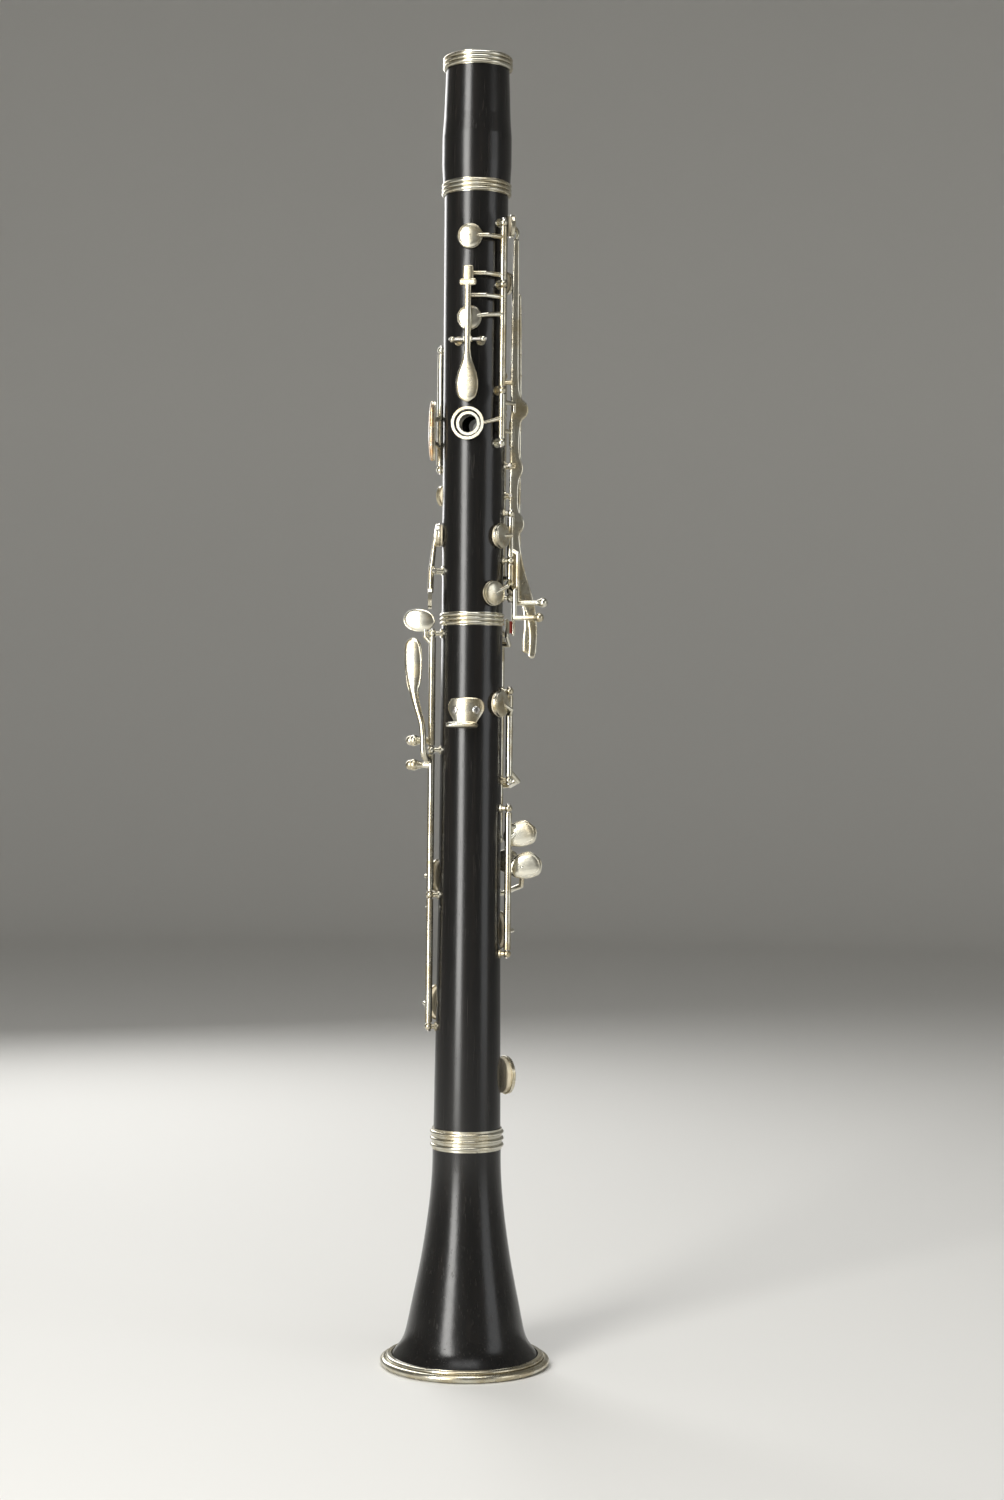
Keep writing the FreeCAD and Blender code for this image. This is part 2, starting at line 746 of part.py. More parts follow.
def make_bell():
    """The bell: both walls are smooth curves from the socket's wood down to the rim."""
    length = size("bell_length")
    throat = size("bell_throat_radius")
    rim = size("bell_rim_radius")
    collar = length - size("bell_ring_height")
    outside = [(0.0, 1.0), (0.045, 0.945), (0.1, 0.83), (0.2, 0.74), (0.29, 0.69),
               (0.47, 0.59), (0.63, 0.52), (0.8, 0.465)]
    inside = [(0.0, 0.87), (0.06, 0.72), (0.15, 0.59), (0.3, 0.47), (0.5, 0.39), (0.7, 0.34)]
    floor = length - size("foot_socket_depth")
    outer_points = [Vector(rim * across, 0, collar * up) for up, across in outside]
    outer_points.append(Vector(throat, 0, collar))
    inner_points = [Vector(rim * across, 0, floor * up) for up, across in inside]
    inner_points.append(Vector(size("foot_bore_radius"), 0, floor))
    seat = size("bell_ring_radius") - size("ring_wall")
    socket = size("foot_socket_radius")
    outer = Part.BSplineCurve()
    outer.interpolate(outer_points)
    inner = Part.BSplineCurve()
    inner.interpolate(inner_points)
    steps = [
        Vector(throat, 0, collar), Vector(seat, 0, collar), Vector(seat, 0, length),
        Vector(socket, 0, length), Vector(socket, 0, floor), inner_points[-1],
    ]
    edges = [outer.toShape()]
    edges += [Part.makeLine(start, end) for start, end in zip(steps, steps[1:])]
    edges += [inner.toShape(), Part.makeLine(inner_points[0], outer_points[0])]
    wire = Part.Wire(Part.__sortEdges__(edges))
    thing = doc.addObject("Part::Feature", "Bell")
    thing.Shape = Part.Face(wire).revolve(Vector(0, 0, 0), UP, 360)
    thing.Placement = Placement()
    tall = size("rim_ring_height")
    around_seat = cylinder(Vector(0, 0, -1), UP, 2 * rim, tall + 1)
    return cut(thing, [cut(around_seat, [rim_seat(0.0)])], "bell")


def rim_seat(gap):
    """The tapered foot of the bell that the rim ring is pushed over."""
    rim = size("bell_rim_radius")
    tall = size("rim_ring_height")
    slope = 0.35
    return cone(Vector(0, 0, -1), UP, rim + slope + gap, rim - slope * tall + gap, tall + 1)


def beaded_ring(label, foot, height, radius):
    """A metal ring with three beads turned round it, on a shoulder of the wood."""
    length = size(height)
    blank = cylinder(Vector(0, 0, foot), UP, cell(radius), cell(height))
    beads = [torus(Vector(0, 0, foot + length * (BEAD_FOOT + BEAD_STEP * index)), cell(radius),
                   cell("bead_radius")) for index in range(3)]
    hollow = cylinder(Vector(0, 0, foot - 1), UP, f"Sizes.{radius} - Sizes.ring_wall", length + 2)
    return fused([cut(blank, [hollow])] + beads, label)


def make_rim_ring():
    """The metal ring round the bell's rim, with two beads."""
    tall = size("rim_ring_height")
    edge = size("rim_ring_radius")
    blank = cone(Vector(0, 0, 0), UP, edge - 1.6, edge - 3.9, tall)
    beads = [torus(Vector(0, 0, 1.7), edge - 1.7, 1.7),
             torus(Vector(0, 0, tall - 1.1), edge - 3.6, 1.0)]
    bare = fused([blank] + beads)
    below = cylinder(Vector(0, 0, -5), UP, 2 * edge, 5.0)
    above = cylinder(Vector(0, 0, tall - 0.01), UP, edge - 4.6, 2.0)
    return cut(bare, [rim_seat(0.02), below, above], "bell_rim_ring")


def cork_band(foot, socket):
    """A band of cork let into a tenon, a hair under the size of its socket."""
    band = cylinder(Vector(0, 0, foot), UP, f"Sizes.{socket} - Sizes.cork_gap",
                    cell("cork_height"))
    hollow = cylinder(Vector(0, 0, foot - 1), UP, f"Sizes.{socket} - Sizes.tenon_wall_gap",
                      "Sizes.cork_height + 2")
    return cut(band, [hollow], "Cork")


def make_corks():
    offset = size("cork_offset")
    tall = size("cork_height")
    bands = [
        cork_band(UPPER_TOP + offset, "socket_radius"),
        cork_band(UPPER_FOOT - offset - tall, "socket_radius"),
        cork_band(LOWER_FOOT - offset - tall, "foot_socket_radius"),
    ]
    return gathered(bands, "tenon_corks")


# ---------------------------------------------------------------- posts, rods, small fittings

def make_posts(label, rods, saws):
    """Each post is a solid of its own, with the hole for its rod or pin."""
    posts = []
    for rod in rods:
        for place in rod.post_places():
            posts.append(cut(fused(post(*place)), [rod.steel()], "Post"))
    for saw in saws:
        for place in saw.post_places():
            posts.append(cut(fused(post(*place, ball_size="small_ball_radius")), [saw.pin()],
                             "Post"))
    return gathered(posts, label)


def make_rods(label, rods, saws):
    return gathered([rod.steel() for rod in rods] + [saw.pin() for saw in saws], label)


def make_thumb_tube():
    start = size("bore_radius") + 0.9
    height = thumb_ring.height
    end = wood_radius(height) + size("thumb_tube_stand")
    wall = cylinder(spot(0, start, height), outward(0), cell("thumb_tube_radius"), end - start)
    hole = cylinder(spot(0, start - 1, height), outward(0), cell("thumb_hole_radius"),
                    end - start + 2)
    return cut(wall, [hole], "thumb_hole_tube")


def make_vent_tubes():
    tubes = []
    for pad in (register_pad, b_flat_pad):
        start = size("bore_radius") + 0.9
        wall = cylinder(pad.point(start), pad.facing, cell("vent_tube_radius"), pad.seat - start)
        hole = cylinder(pad.point(start - 1), pad.facing, cell("vent_hole_radius"),
                        pad.seat - start + 2)
        tubes.append(cut(wall, [hole], "Vent"))
    return gathered(tubes, "vent_tubes")


REST_CENTRE = lower(size("rest_height"))


def rest_screw_cutter(side):
    start = wood_radius(REST_CENTRE) - 4.0
    centre = spot(0, start, REST_CENTRE) + Vector(side * size("rest_screw_spread"), 0, 0)
    return cylinder(centre, outward(0), 0.9, 12.0)


def rest_screw_seat():
    """How far from the axis the underside of a screw's head lies."""
    face = wood_radius(REST_CENTRE) + size("rest_thickness")
    return math.sqrt(face ** 2 - size("rest_screw_spread") ** 2) - 0.6


def rest_screw_head(side, gap, length):
    start = spot(0, rest_screw_seat(), REST_CENTRE)
    return cylinder(start + Vector(side * size("rest_screw_spread"), 0, 0), outward(0),
                    size("rest_screw_radius") + gap, length)


def make_thumb_rest():
    """A curved plate against the wood, with a hook that stands out under the thumb."""
    wood = wood_radius(REST_CENTRE)
    tall = size("rest_plate_height")
    shell = cylinder(Vector(0, 0, REST_CENTRE - tall / 2), UP, wood + size("rest_thickness"), tall)
    inner = cylinder(Vector(0, 0, REST_CENTRE - tall), UP, wood + 0.02, 2 * tall)
    face = doc.addObject("Part::Common", "Common")
    face.Base = shell
    blank = cylinder(spot(0, 8.0, REST_CENTRE), outward(0), 0.5 * size("rest_width"), 12.0)
    face.Tool = blank
    low = REST_CENTRE - tall / 2 - 1.2
    shelf = plate(spot(0, wood + size("hook_reach") / 2 - 1.0, low), Vector(1, 0, 0),
                  UP, cell("hook_width"), cell("hook_reach"), cell("hook_thickness"))
    lip = cylinder(spot(0, wood + size("hook_reach") - 1.2, low + 0.6) -
                   Vector(size("hook_width") / 2, 0, 0), Vector(1, 0, 0), 1.9,
                   cell("hook_width"))
    screws = [rest_screw_cutter(side) for side in (-1, 1)]
    heads = [rest_screw_head(side, 0.03, 4.0) for side in (-1, 1)]
    return cut(fused([face, shelf, lip]), [inner] + screws + heads, "thumb_rest")


def make_rest_screws():
    wood = wood_radius(REST_CENTRE)
    screws = []
    for side in (-1, 1):
        offset = Vector(side * size("rest_screw_spread"), 0, 0)
        start = spot(0, wood - 4.0, REST_CENTRE) + offset
        stem = cylinder(start, outward(0), 0.88, rest_screw_seat() - wood + 4.2)
        cap = rest_screw_head(side, 0.0, 1.6)
        slot = plate(spot(0, rest_screw_seat() + 1.6, REST_CENTRE) + offset, Vector(1, 0, 0),
                     outward(0), 5.0, 0.5, 0.9)
        screws.append(cut(fused([stem, cap]), [slot], "Screw"))
    return gathered(screws, "thumb_rest_screws")


# ---------------------------------------------------------------- keys of the upper joint

def make_register_lever():
    """The thumb's lever: a bar with a cross-bar over the two vent keys, and a spoon."""
    saw = REGISTER_SAW
    stand = wood_radius(saw.height) + size("lever_stand")
    back = outward(0)
    top, foot = upper(155.0), upper(119.0)
    shank = plate(spot(0, stand, (top + foot) / 2), Vector(1, 0, 0), back,
                  cell("lever_width"), top - foot, cell("lever_thickness"))
    cross = plate(spot(0, stand + 0.1, upper(147.4)), Vector(1, 0, 0), back, 7.5, 3.0,
                  cell("leaf_thickness"))
    tab = plate(spot(0, stand + 0.1, upper(151.5)), Vector(1, 0, 0), back, 4.6, 7.0,
                cell("leaf_thickness"))
    spoon = oval(spot(0, stand, upper(103.6)), UP, back, 9.5, 5.0, "leaf_thickness")
    neck = cone(spot(0, stand, upper(120.0)), Vector(0, 0, -1), 1.5, 2.6, 9.0)
    web = plate(spot(0, (saw.centre.Length ** 2 - saw.height ** 2) ** 0.5 + 0.3, saw.height),
                Vector(1, 0, 0), back, 3.0, 2.2, 1.6)
    return key("register_lever", [shank, cross, tab, spoon, neck, web, saw.lug(10.6)],
               [saw.bore()])


def make_vent_keys():
    """Two vent keys side by side on one rod, each with an arm that ends under the lever."""
    low, high = clear_of_posts(upper(148.0), upper(175.8))
    under = wood_radius(upper(150.0)) + size("lever_stand") - 2.2
    tip = [VENT_ROD.at(upper(152.0)), spot(24, under + 0.8, upper(152.0)),
           spot(2, under, upper(152.0))]
    register = key(
        "register_vent_key",
        [VENT_ROD.tube(low, high)] + register_pad.cup()
        + register_pad.arm_from(VENT_ROD, upper(169.1)) + bar(tip, [1.1, 1.0, 1.0]),
        [VENT_ROD.bore(low, high), register_pad.hollow()])
    low, high = clear_of_posts(upper(100.1), upper(148.0))
    tip = [VENT_ROD.at(upper(142.1)), spot(24, under + 0.8, upper(142.1)),
           spot(2, under, upper(142.1))]
    pin = [VENT_ROD.at(upper(103.5)), VENT_ROD.at(upper(103.5)) + Vector(4.2, 0.6, 0)]
    b_flat = key(
        "b_flat_vent_key",
        [VENT_ROD.tube(low, high)] + b_flat_pad.cup()
        + b_flat_pad.arm_from(VENT_ROD, upper(134.5), bulge=0.7)
        + bar(tip, [1.1, 1.0, 1.0]) + bar(pin, [0.8, 1.1]),
        [VENT_ROD.bore(low, high), b_flat_pad.hollow()])
    return [register, b_flat, register_pad.felt("register_vent_pad"),
            b_flat_pad.felt("b_flat_vent_pad")]


def make_thumb_ring_key():
    low, high = clear_of_posts(upper(76.4), upper(100.1))
    side = spot(80, wood_radius(upper(90)) + 5.0, upper(94.9))
    tab = plate(spot(79, wood_radius(upper(80)) + 4.2, upper(81.0)), around(79), outward(79),
                3.2, 11.0, 1.5)
    link = bar([VENT_ROD.at(upper(82.0)), spot(79, wood_radius(upper(80)) + 4.2, upper(82.0))],
               [1.0, 0.9])
    thumb = key(
        "thumb_ring_key",
        [VENT_ROD.tube(low, high), thumb_ring.solid(), tab]
        + thumb_ring.arm_from(VENT_ROD, drop=3.0) + link
        + bar([VENT_ROD.at(upper(94.9)), side], [1.0, 0.9])
        + bar([side, side - Vector(0, 0, 3.5)], [0.9, 0.9]),
        [VENT_ROD.bore(low, high), thumb_ring.hollow()])
    low, high = clear_of_posts(upper(92.0), upper(110.0))
    front = key(
        "front_vent_key",
        [RING_ROD.tube(low, high)] + front_vent_pad.cup()
        + front_vent_pad.arm_from(RING_ROD, upper(101.0)),
        [RING_ROD.bore(low, high), front_vent_pad.hollow()])
    return [thumb, front, front_vent_pad.felt("front_vent_pad")]


BRIDGE_ANGLE = 112
BRIDGE_RADIUS = 17.9


def make_upper_ring_key():
    """The two front rings, their pad and the upper half of the bridge."""
    low, high = clear_of_posts(upper(13.0), upper(92.0))
    radius = wood_radius(upper(0)) - size("lower_top_radius") + BRIDGE_RADIUS
    start = spot(126, radius + 1.6, upper(16.6))
    bridge = [RING_ROD.at(upper(17.0)), start, spot(BRIDGE_ANGLE, radius + 1.3, upper(9.0)),
              spot(BRIDGE_ANGLE, radius + 1.3, upper(-9.0))]
    solids = [RING_ROD.tube(low, high), first_ring.solid(), second_ring.solid()]
    solids += first_ring.arm_from(RING_ROD) + second_ring.arm_from(RING_ROD)
    solids += upper_ring_pad.cup() + upper_ring_pad.arm_from(RING_ROD, upper(71.5))
    solids += bar(bridge, [1.2, 1.1, 1.0, 0.9])
    hollows = [RING_ROD.bore(low, high), upper_ring_pad.hollow(), first_ring.hollow(),
               second_ring.hollow()]
    return [key("upper_ring_key", solids, hollows), upper_ring_pad.felt("upper_ring_pad")]


def make_throat_keys():
    saw = THROAT_A_SAW
    front = outward(180)
    stand = wood_radius(saw.height) + 4.6
    touch = oval(spot(180, stand, upper(116.0)), UP, front, 6.2, 3.4, "leaf_thickness")
    lever = bar([spot(180, stand, upper(120.0)), spot(180, stand + 0.3, upper(127.0)),
                 throat_a_pad.point(throat_a_pad.top + 0.3)], [1.3, 1.2, 0.9])
    throat_a = key("throat_a_key",
                   [touch, saw.lug(6.2)] + lever + throat_a_pad.cup(),
                   [saw.bore(), throat_a_pad.hollow()])
    low, high = clear_of_posts(upper(66.0), upper(121.0))
    radius = THROAT_ROD.radius
    leaf = oval(spot(-81, radius + 1.0, upper(83.0)), UP, outward(-81), 13.5, 3.0,
                "leaf_thickness")
    stalk = bar([THROAT_ROD.at(upper(76.0)), spot(-84, radius + 0.9, upper(78.0))], [1.2, 1.0])
    stalk += bar([THROAT_ROD.at(upper(90.0)), spot(-84, radius + 0.9, upper(88.0))], [1.2, 1.0])
    g_sharp = key("throat_g_sharp_key",
                  [THROAT_ROD.tube(low, high), leaf] + stalk + throat_g_sharp_pad.cup()
                  + throat_g_sharp_pad.arm_from(THROAT_ROD, upper(112.0), bulge=0.6),
                  [THROAT_ROD.bore(low, high), throat_g_sharp_pad.hollow()])
    return [throat_a, throat_a_pad.felt("throat_a_pad"),
            g_sharp, throat_g_sharp_pad.felt("throat_g_sharp_pad")]


def trill_key(label, saw, pad, offset, top_height, touch_height):
    """A long see-saw lever down the right side, with a pad above and a touch below."""
    x = wood_radius(saw.height) + size("side_lever_stand")
    right = Vector(1, 0, 0)
    foot = upper(22.0)
    shank = plate(Vector(x, offset, (top_height + foot) / 2), Vector(0, 1, 0), right,
                  cell("side_lever_width"), top_height - foot, cell("side_lever_thickness"))
    web = plate((saw.centre + Vector(x, offset, saw.height)) * 0.5, Vector(0, 1, 0), right,
                2.0, 2.4, x - saw.centre.x)
    low = Vector(x, offset, foot + 1.0)
    aside = 0.3 * (offset - 4.4)
    knee = Vector(x + 2.6, offset, upper(9.0))
    end = Vector(x + 8.2, offset + aside, touch_height + 7.0)
    tip = Vector(x + 9.6, offset + aside, touch_height)
    tail = bar([low, knee, end, tip], [0.9, 1.2, 1.6, 1.8])
    head = bar([Vector(x, offset, top_height - 1.0), pad.point(pad.top + 0.4)], [1.1, 0.9])
    return key(label, [shank, web, saw.lug(2.2)] + tail + head + pad.cup(),
               [saw.bore(), pad.hollow()])


def make_trill_keys():
    high = trill_key("high_trill_key", HIGH_TRILL_SAW, high_trill_pad, 4.4, upper(171.0),
                     lower(216.0))
    low = trill_key("low_trill_key", LOW_TRILL_SAW, low_trill_pad, 8.2, upper(146.0),
                    lower(219.0))
    return [high, high_trill_pad.felt("high_trill_pad"),
            low, low_trill_pad.felt("low_trill_pad")]


def make_side_keys():
    """Two short keys on one rod at the right, each with a stub touch that stands out."""
    low, high = clear_of_posts(upper(24.0), upper(45.5))
    radius = SIDE_ROD.radius
    outer = radius + 3.4
    drop = [SIDE_ROD.at(upper(29.0)), spot(90, outer, upper(27.0)), spot(90, outer, upper(4.6)),
            spot(90, 30.0, upper(4.8)), spot(90, 32.6, upper(4.8))]
    b_flat = key("side_b_flat_key",
                 [SIDE_ROD.tube(low, high)] + side_b_flat_pad.cup()
                 + side_b_flat_pad.arm_from(SIDE_ROD, upper(35.5), bulge=1.4)
                 + bar(drop, [1.2, 1.1, 1.1, 1.2, 2.1]),
                 [SIDE_ROD.bore(low, high), side_b_flat_pad.hollow()])
    low, high = clear_of_posts(upper(7.0), upper(24.0))
    drop = [SIDE_ROD.at(upper(12.0)), spot(78, outer, upper(10.0)), spot(78, outer, upper(-2.4)),
            spot(81, 29.5, upper(-2.2)), spot(81.5, 32.0, upper(-2.2))]
    f_sharp = key("side_f_sharp_key",
                  [SIDE_ROD.tube(low, high)] + side_f_sharp_pad.cup()
                  + side_f_sharp_pad.arm_from(SIDE_ROD, upper(15.0), bulge=0.9)
                  + bar(drop, [1.2, 1.1, 1.1, 1.2, 2.0]),
                  [SIDE_ROD.bore(low, high), side_f_sharp_pad.hollow()])
    return [b_flat, side_b_flat_pad.felt("side_b_flat_pad"),
            f_sharp, side_f_sharp_pad.felt("side_f_sharp_pad")]


def make_left_upper_keys():
    saw = C_SHARP_SAW
    left = outward(-80)
    stand = wood_radius(saw.height) + 5.0
    touch = oval(spot(-80, stand + 0.4, upper(6.6)), UP, left, 5.0, 3.6, "leaf_thickness")
    lever = bar([spot(-80, stand + 0.2, upper(9.0)), spot(-80, stand, upper(19.0)),
                 c_sharp_pad.point(c_sharp_pad.top + 0.3)], [1.3, 1.3, 0.9])
    c_sharp = key("c_sharp_key", [touch, saw.lug(6.2)] + lever + c_sharp_pad.cup(),
                  [saw.bore(), c_sharp_pad.hollow()])
    low, high = clear_of_posts(upper(36.5), upper(61.0))
    radius = SLIVER_ROD.radius
    touch = [SLIVER_ROD.at(upper(45.0)), spot(-152, radius + 0.9, upper(45.0)),
             spot(-164, radius + 0.8, upper(45.5)), spot(-176, radius + 0.4, upper(45.0))]
    sliver = key("left_sliver_key",
                 [SLIVER_ROD.tube(low, high)] + left_sliver_pad.cup()
                 + left_sliver_pad.arm_from(SLIVER_ROD, upper(54.0), bulge=0.6)
                 + bar(touch, [1.2, 1.2, 1.6, 1.2]),
                 [SLIVER_ROD.bore(low, high), left_sliver_pad.hollow()])
    return [c_sharp, c_sharp_pad.felt("c_sharp_pad"),
            sliver, left_sliver_pad.felt("left_sliver_pad")]


# ---------------------------------------------------------------- keys of the lower joint

def make_lower_ring_key():
    """Three front rings, their pad and the lower half of the bridge, with its cork."""
    low, high = clear_of_posts(lower(131.0), lower(225.5))
    solids = [LOWER_RING_ROD.tube(low, high)]
    hollows = [LOWER_RING_ROD.bore(low, high), lower_ring_pad.hollow()]
    for ring in lower_rings:
        solids.append(ring.solid())
        solids += ring.arm_from(LOWER_RING_ROD)
        hollows.append(ring.hollow())
    solids += lower_ring_pad.cup() + lower_ring_pad.arm_from(LOWER_RING_ROD, lower(212.0))
    under = BRIDGE_RADIUS - 1.6
    bridge = [LOWER_RING_ROD.at(lower(221.0)), spot(124, under + 2.2, lower(220.5)),
              spot(BRIDGE_ANGLE, under - 0.1, lower(224.0)),
              spot(BRIDGE_ANGLE, under - 0.1, lower(231.5))]
    solids += bar(bridge, [1.2, 1.1, 0.9, 0.7])
    cork = plate(spot(BRIDGE_ANGLE, under + 1.25, lower(228.4)), around(BRIDGE_ANGLE),
                 outward(BRIDGE_ANGLE), 3.0, 5.4, 0.9)
    seat = plate(spot(BRIDGE_ANGLE, under + 0.35, lower(228.4)), around(BRIDGE_ANGLE),
                 outward(BRIDGE_ANGLE), 3.2, 6.0, 0.9)
    cork.Label = "bridge_cork"
    return [key("lower_ring_key", solids + [seat], hollows),
            lower_ring_pad.felt("lower_ring_pad"), cork]


def make_banana_key():
    """The right hand's cross key: a pad at the back right and a touch between the rings."""
    low, high = clear_of_posts(lower(158.5), lower(199.0))
    radius = BANANA_ROD.radius
    touch = [BANANA_ROD.at(lower(163.0)), spot(112, radius + 4.6, lower(158.0)),
             spot(138, radius + 5.8, lower(156.0)), spot(158, radius + 3.6, lower(156.0)),
             spot(172, radius + 0.8, lower(156.0))]
    banana = key("banana_key",
                 [BANANA_ROD.tube(low, high)] + banana_pad.cup()
                 + banana_pad.arm_from(BANANA_ROD, lower(188.0), bulge=1.6)
                 + bar(touch, [1.2, 1.2, 1.3, 1.6, 1.1]),
                 [BANANA_ROD.bore(low, high), banana_pad.hollow()])
    return [banana, banana_pad.felt("banana_pad")]


def touch_plate(centre, reach, half_length, half_width):
    """A little-finger touch: an oval leaf, its face to the front."""
    return oval(centre, reach, Vector(0, 1, 0), half_length, half_width, "leaf_thickness")


def make_right_foot_keys():
    """The keys for the right little finger: A flat, and F and E with their long tubes."""
    low, high = clear_of_posts(lower(79.5), lower(145.7))
    slant = Vector(1, 0, 0.12)
    slant.normalize()
    plate_centre = A_FLAT_ROD.beside(5.8, 2.93, lower(134.2))
    a_flat = key("a_flat_key",
                 [A_FLAT_ROD.tube(low, high), touch_plate(plate_centre, slant, 5.8, 5.4)]
                 + bar([A_FLAT_ROD.at(lower(131.0)), plate_centre - Vector(3, 0.4, 0)],
                       [1.3, 1.0])
                 + bar([A_FLAT_ROD.at(lower(137.0)), plate_centre - Vector(3, 0.4, -3)],
                       [1.3, 1.0])
                 + a_flat_pad.cup() + a_flat_pad.arm_from(A_FLAT_ROD, lower(90.0), bulge=2.0),
                 [A_FLAT_ROD.bore(low, high), a_flat_pad.hollow()])
    radius = FRONT_ROD.radius
    low, high = clear_of_posts(lower(14.0), lower(111.0))
    plate_centre = A_FLAT_ROD.beside(7.6, 7.33, lower(119.6))
    e_arm = [FRONT_ROD.at(lower(105.0)), spot(148, radius + 5.4, lower(106.0)),
             spot(118, radius + 6.4, lower(110.0)), plate_centre - Vector(2.0, 0.2, 1.0)]
    e_key = key("e_key",
                [FRONT_ROD.tube(low, high), touch_plate(plate_centre, slant, 6.0, 5.6)]
                + bar(e_arm, [1.3, 1.2, 1.2, 1.2])
                + e_pad.cup() + e_pad.arm_from(FRONT_ROD, lower(22.9), bulge=2.4),
                [FRONT_ROD.bore(low, high), e_pad.hollow()])
    low, high = clear_of_posts(lower(111.0), lower(133.0))
    plate_centre = FRONT_ROD.beside(12.34, -1.21, lower(121.0))
    crank = [FRONT_ROD.at(lower(115.0)), spot(-168, radius + 1.8, lower(115.0)),
             spot(-150, radius + 1.8, lower(115.0))]
    f_touch = key("f_touch_key",
                  [FRONT_ROD.tube(low, high), touch_plate(plate_centre, slant, 5.5, 5.2)]
                  + bar([FRONT_ROD.at(lower(121.0)), plate_centre - Vector(3, 0, 0)],
                        [1.2, 1.0])
                  + bar(crank, [1.2, 1.0, 1.0]),
                  [FRONT_ROD.bore(low, high)])
    return [a_flat, a_flat_pad.felt("a_flat_pad"), e_key, e_pad.felt("e_pad"), f_touch]


def peg(rod, height, reach):
    """A pear-shaped touch that stands out from a hinge tube to the left."""
    root = rod.at(height)
    neck = root + Vector(-reach * 0.35, -0.2, 0)
    swell = root + Vector(-reach * 0.72, -0.4, 0)
    tip = root + Vector(-reach * 0.86, -0.45, 0)
    return bar([root, neck, swell, tip], [1.6, 1.3, 2.5, 2.2])


def make_left_foot_keys():
    """The left hand's two long levers and the two pad cups at the left of the lower joint."""
    low, high = clear_of_posts(lower(172.0), lower(225.0))
    leaf_centre = LEFT_ROD.beside(-6.1, -0.78, lower(230.9))
    upper_lever = key(
        "left_lever_upper",
        [LEFT_ROD.tube(low, high),
         oval(leaf_centre, Vector(-1, 0, 0), Vector(0, -1, 0), 7.0, 5.0, "leaf_thickness")]
        + bar([LEFT_ROD.at(lower(220.0)), LEFT_ROD.beside(-3.1, -0.38, lower(223.5)),
               LEFT_ROD.beside(-3.3, -0.78, lower(228.5))], [1.2, 1.2, 1.2])
        + peg(LEFT_ROD, lower(176.1), 11.0),
        [LEFT_ROD.bore(low, high)])
    low, high = clear_of_posts(lower(106.0), lower(172.0))
    leaf_centre = LEFT_ROD.beside(-8.1, -1.98, lower(209.6))
    f_sharp = key(
        "f_sharp_key",
        [LEFT_ROD.tube(low, high),
         oval(leaf_centre, UP, Vector(0, -1, 0), 13.0, 3.6, "leaf_thickness")]
        + bar([LEFT_ROD.at(lower(166.0)), LEFT_ROD.beside(-2.5, -5.18, lower(170.5)),
               LEFT_ROD.beside(-3.7, -4.78, lower(184.0)),
               LEFT_ROD.beside(-7.7, -1.98, lower(199.0))], [1.3, 1.2, 1.2, 1.2])
        + peg(LEFT_ROD, lower(165.0), 11.0)
        + f_sharp_pad.cup() + f_sharp_pad.arm_from(LEFT_ROD, lower(114.2), bulge=1.8),
        [LEFT_ROD.bore(low, high), f_sharp_pad.hollow()])
    low, high = clear_of_posts(lower(46.0), lower(106.0))
    tail = [LEFT_ROD.at(lower(99.0)), spot(-95, LEFT_ROD.radius + 1.6, lower(99.5))]
    f_key = key(
        "f_key",
        [LEFT_ROD.tube(low, high)] + f_pad.cup()
        + f_pad.arm_from(LEFT_ROD, lower(55.8), bulge=2.6) + bar(tail, [1.2, 1.0]),
        [LEFT_ROD.bore(low, high), f_pad.hollow()])
    return [upper_lever, f_sharp, f_sharp_pad.felt("f_sharp_pad"), f_key, f_pad.felt("f_pad")]


# ---------------------------------------------------------------- the whole clarinet

def make_all():
    """Build every piece; each one's Label is its name."""
    pieces = [make_upper_joint(), make_lower_joint(), make_barrel(), make_bell()]
    pieces.append(beaded_ring("barrel_top_ring", BARREL_TOP - size("ring_height"),
                              "ring_height", "barrel_ring_radius"))
    pieces.append(beaded_ring("barrel_foot_ring", UPPER_TOP, "ring_height",
                              "barrel_ring_radius"))
    pieces.append(beaded_ring("lower_joint_ring", UPPER_FOOT - size("ring_height"),
                              "ring_height", "lower_ring_radius"))
    pieces.append(beaded_ring("bell_socket_ring", LOWER_FOOT - size("bell_ring_height"),
                              "bell_ring_height", "bell_ring_radius"))
    pieces += [make_rim_ring(), make_corks()]
    pieces.append(make_posts("upper_posts", UPPER_RODS, SAWS))
    pieces.append(make_posts("lower_posts", LOWER_RODS, []))
    pieces.append(make_rods("upper_rods", UPPER_RODS, SAWS))
    pieces.append(make_rods("lower_rods", LOWER_RODS, []))
    pieces += [make_thumb_tube(), make_vent_tubes(), make_thumb_rest(), make_rest_screws()]
    pieces.append(make_register_lever())
    for makers in (make_vent_keys, make_thumb_ring_key, make_upper_ring_key, make_throat_keys,
                   make_trill_keys, make_side_keys, make_left_upper_keys, make_lower_ring_key,
                   make_banana_key, make_right_foot_keys, make_left_foot_keys):
        pieces += makers()
    return pieces


def check(pieces):
    """Stop on any object that failed, and on a piece with no valid solid."""
    for thing in doc.Objects:
        if "Invalid" in thing.State or "Error" in thing.State:
            raise RuntimeError(f"{thing.Label} failed: {thing.State}")
    for piece in pieces:
        shape = piece.Shape
        if shape.isNull() or not shape.isValid() or not shape.Solids:
            raise RuntimeError(f"{piece.Label} has no valid solid")


def main():
    pieces = make_all()
    doc.recompute()
    check(pieces)
    os.makedirs("parts", exist_ok=True)
    for piece in pieces:
        piece.Shape.exportStep(f"parts/{piece.Label}.step")
        print(f"{piece.Label}: {len(piece.Shape.Solids)} solids, "
              f"{piece.Shape.Volume:.1f} mm3")
    print(f"{len(pieces)} pieces")


main()
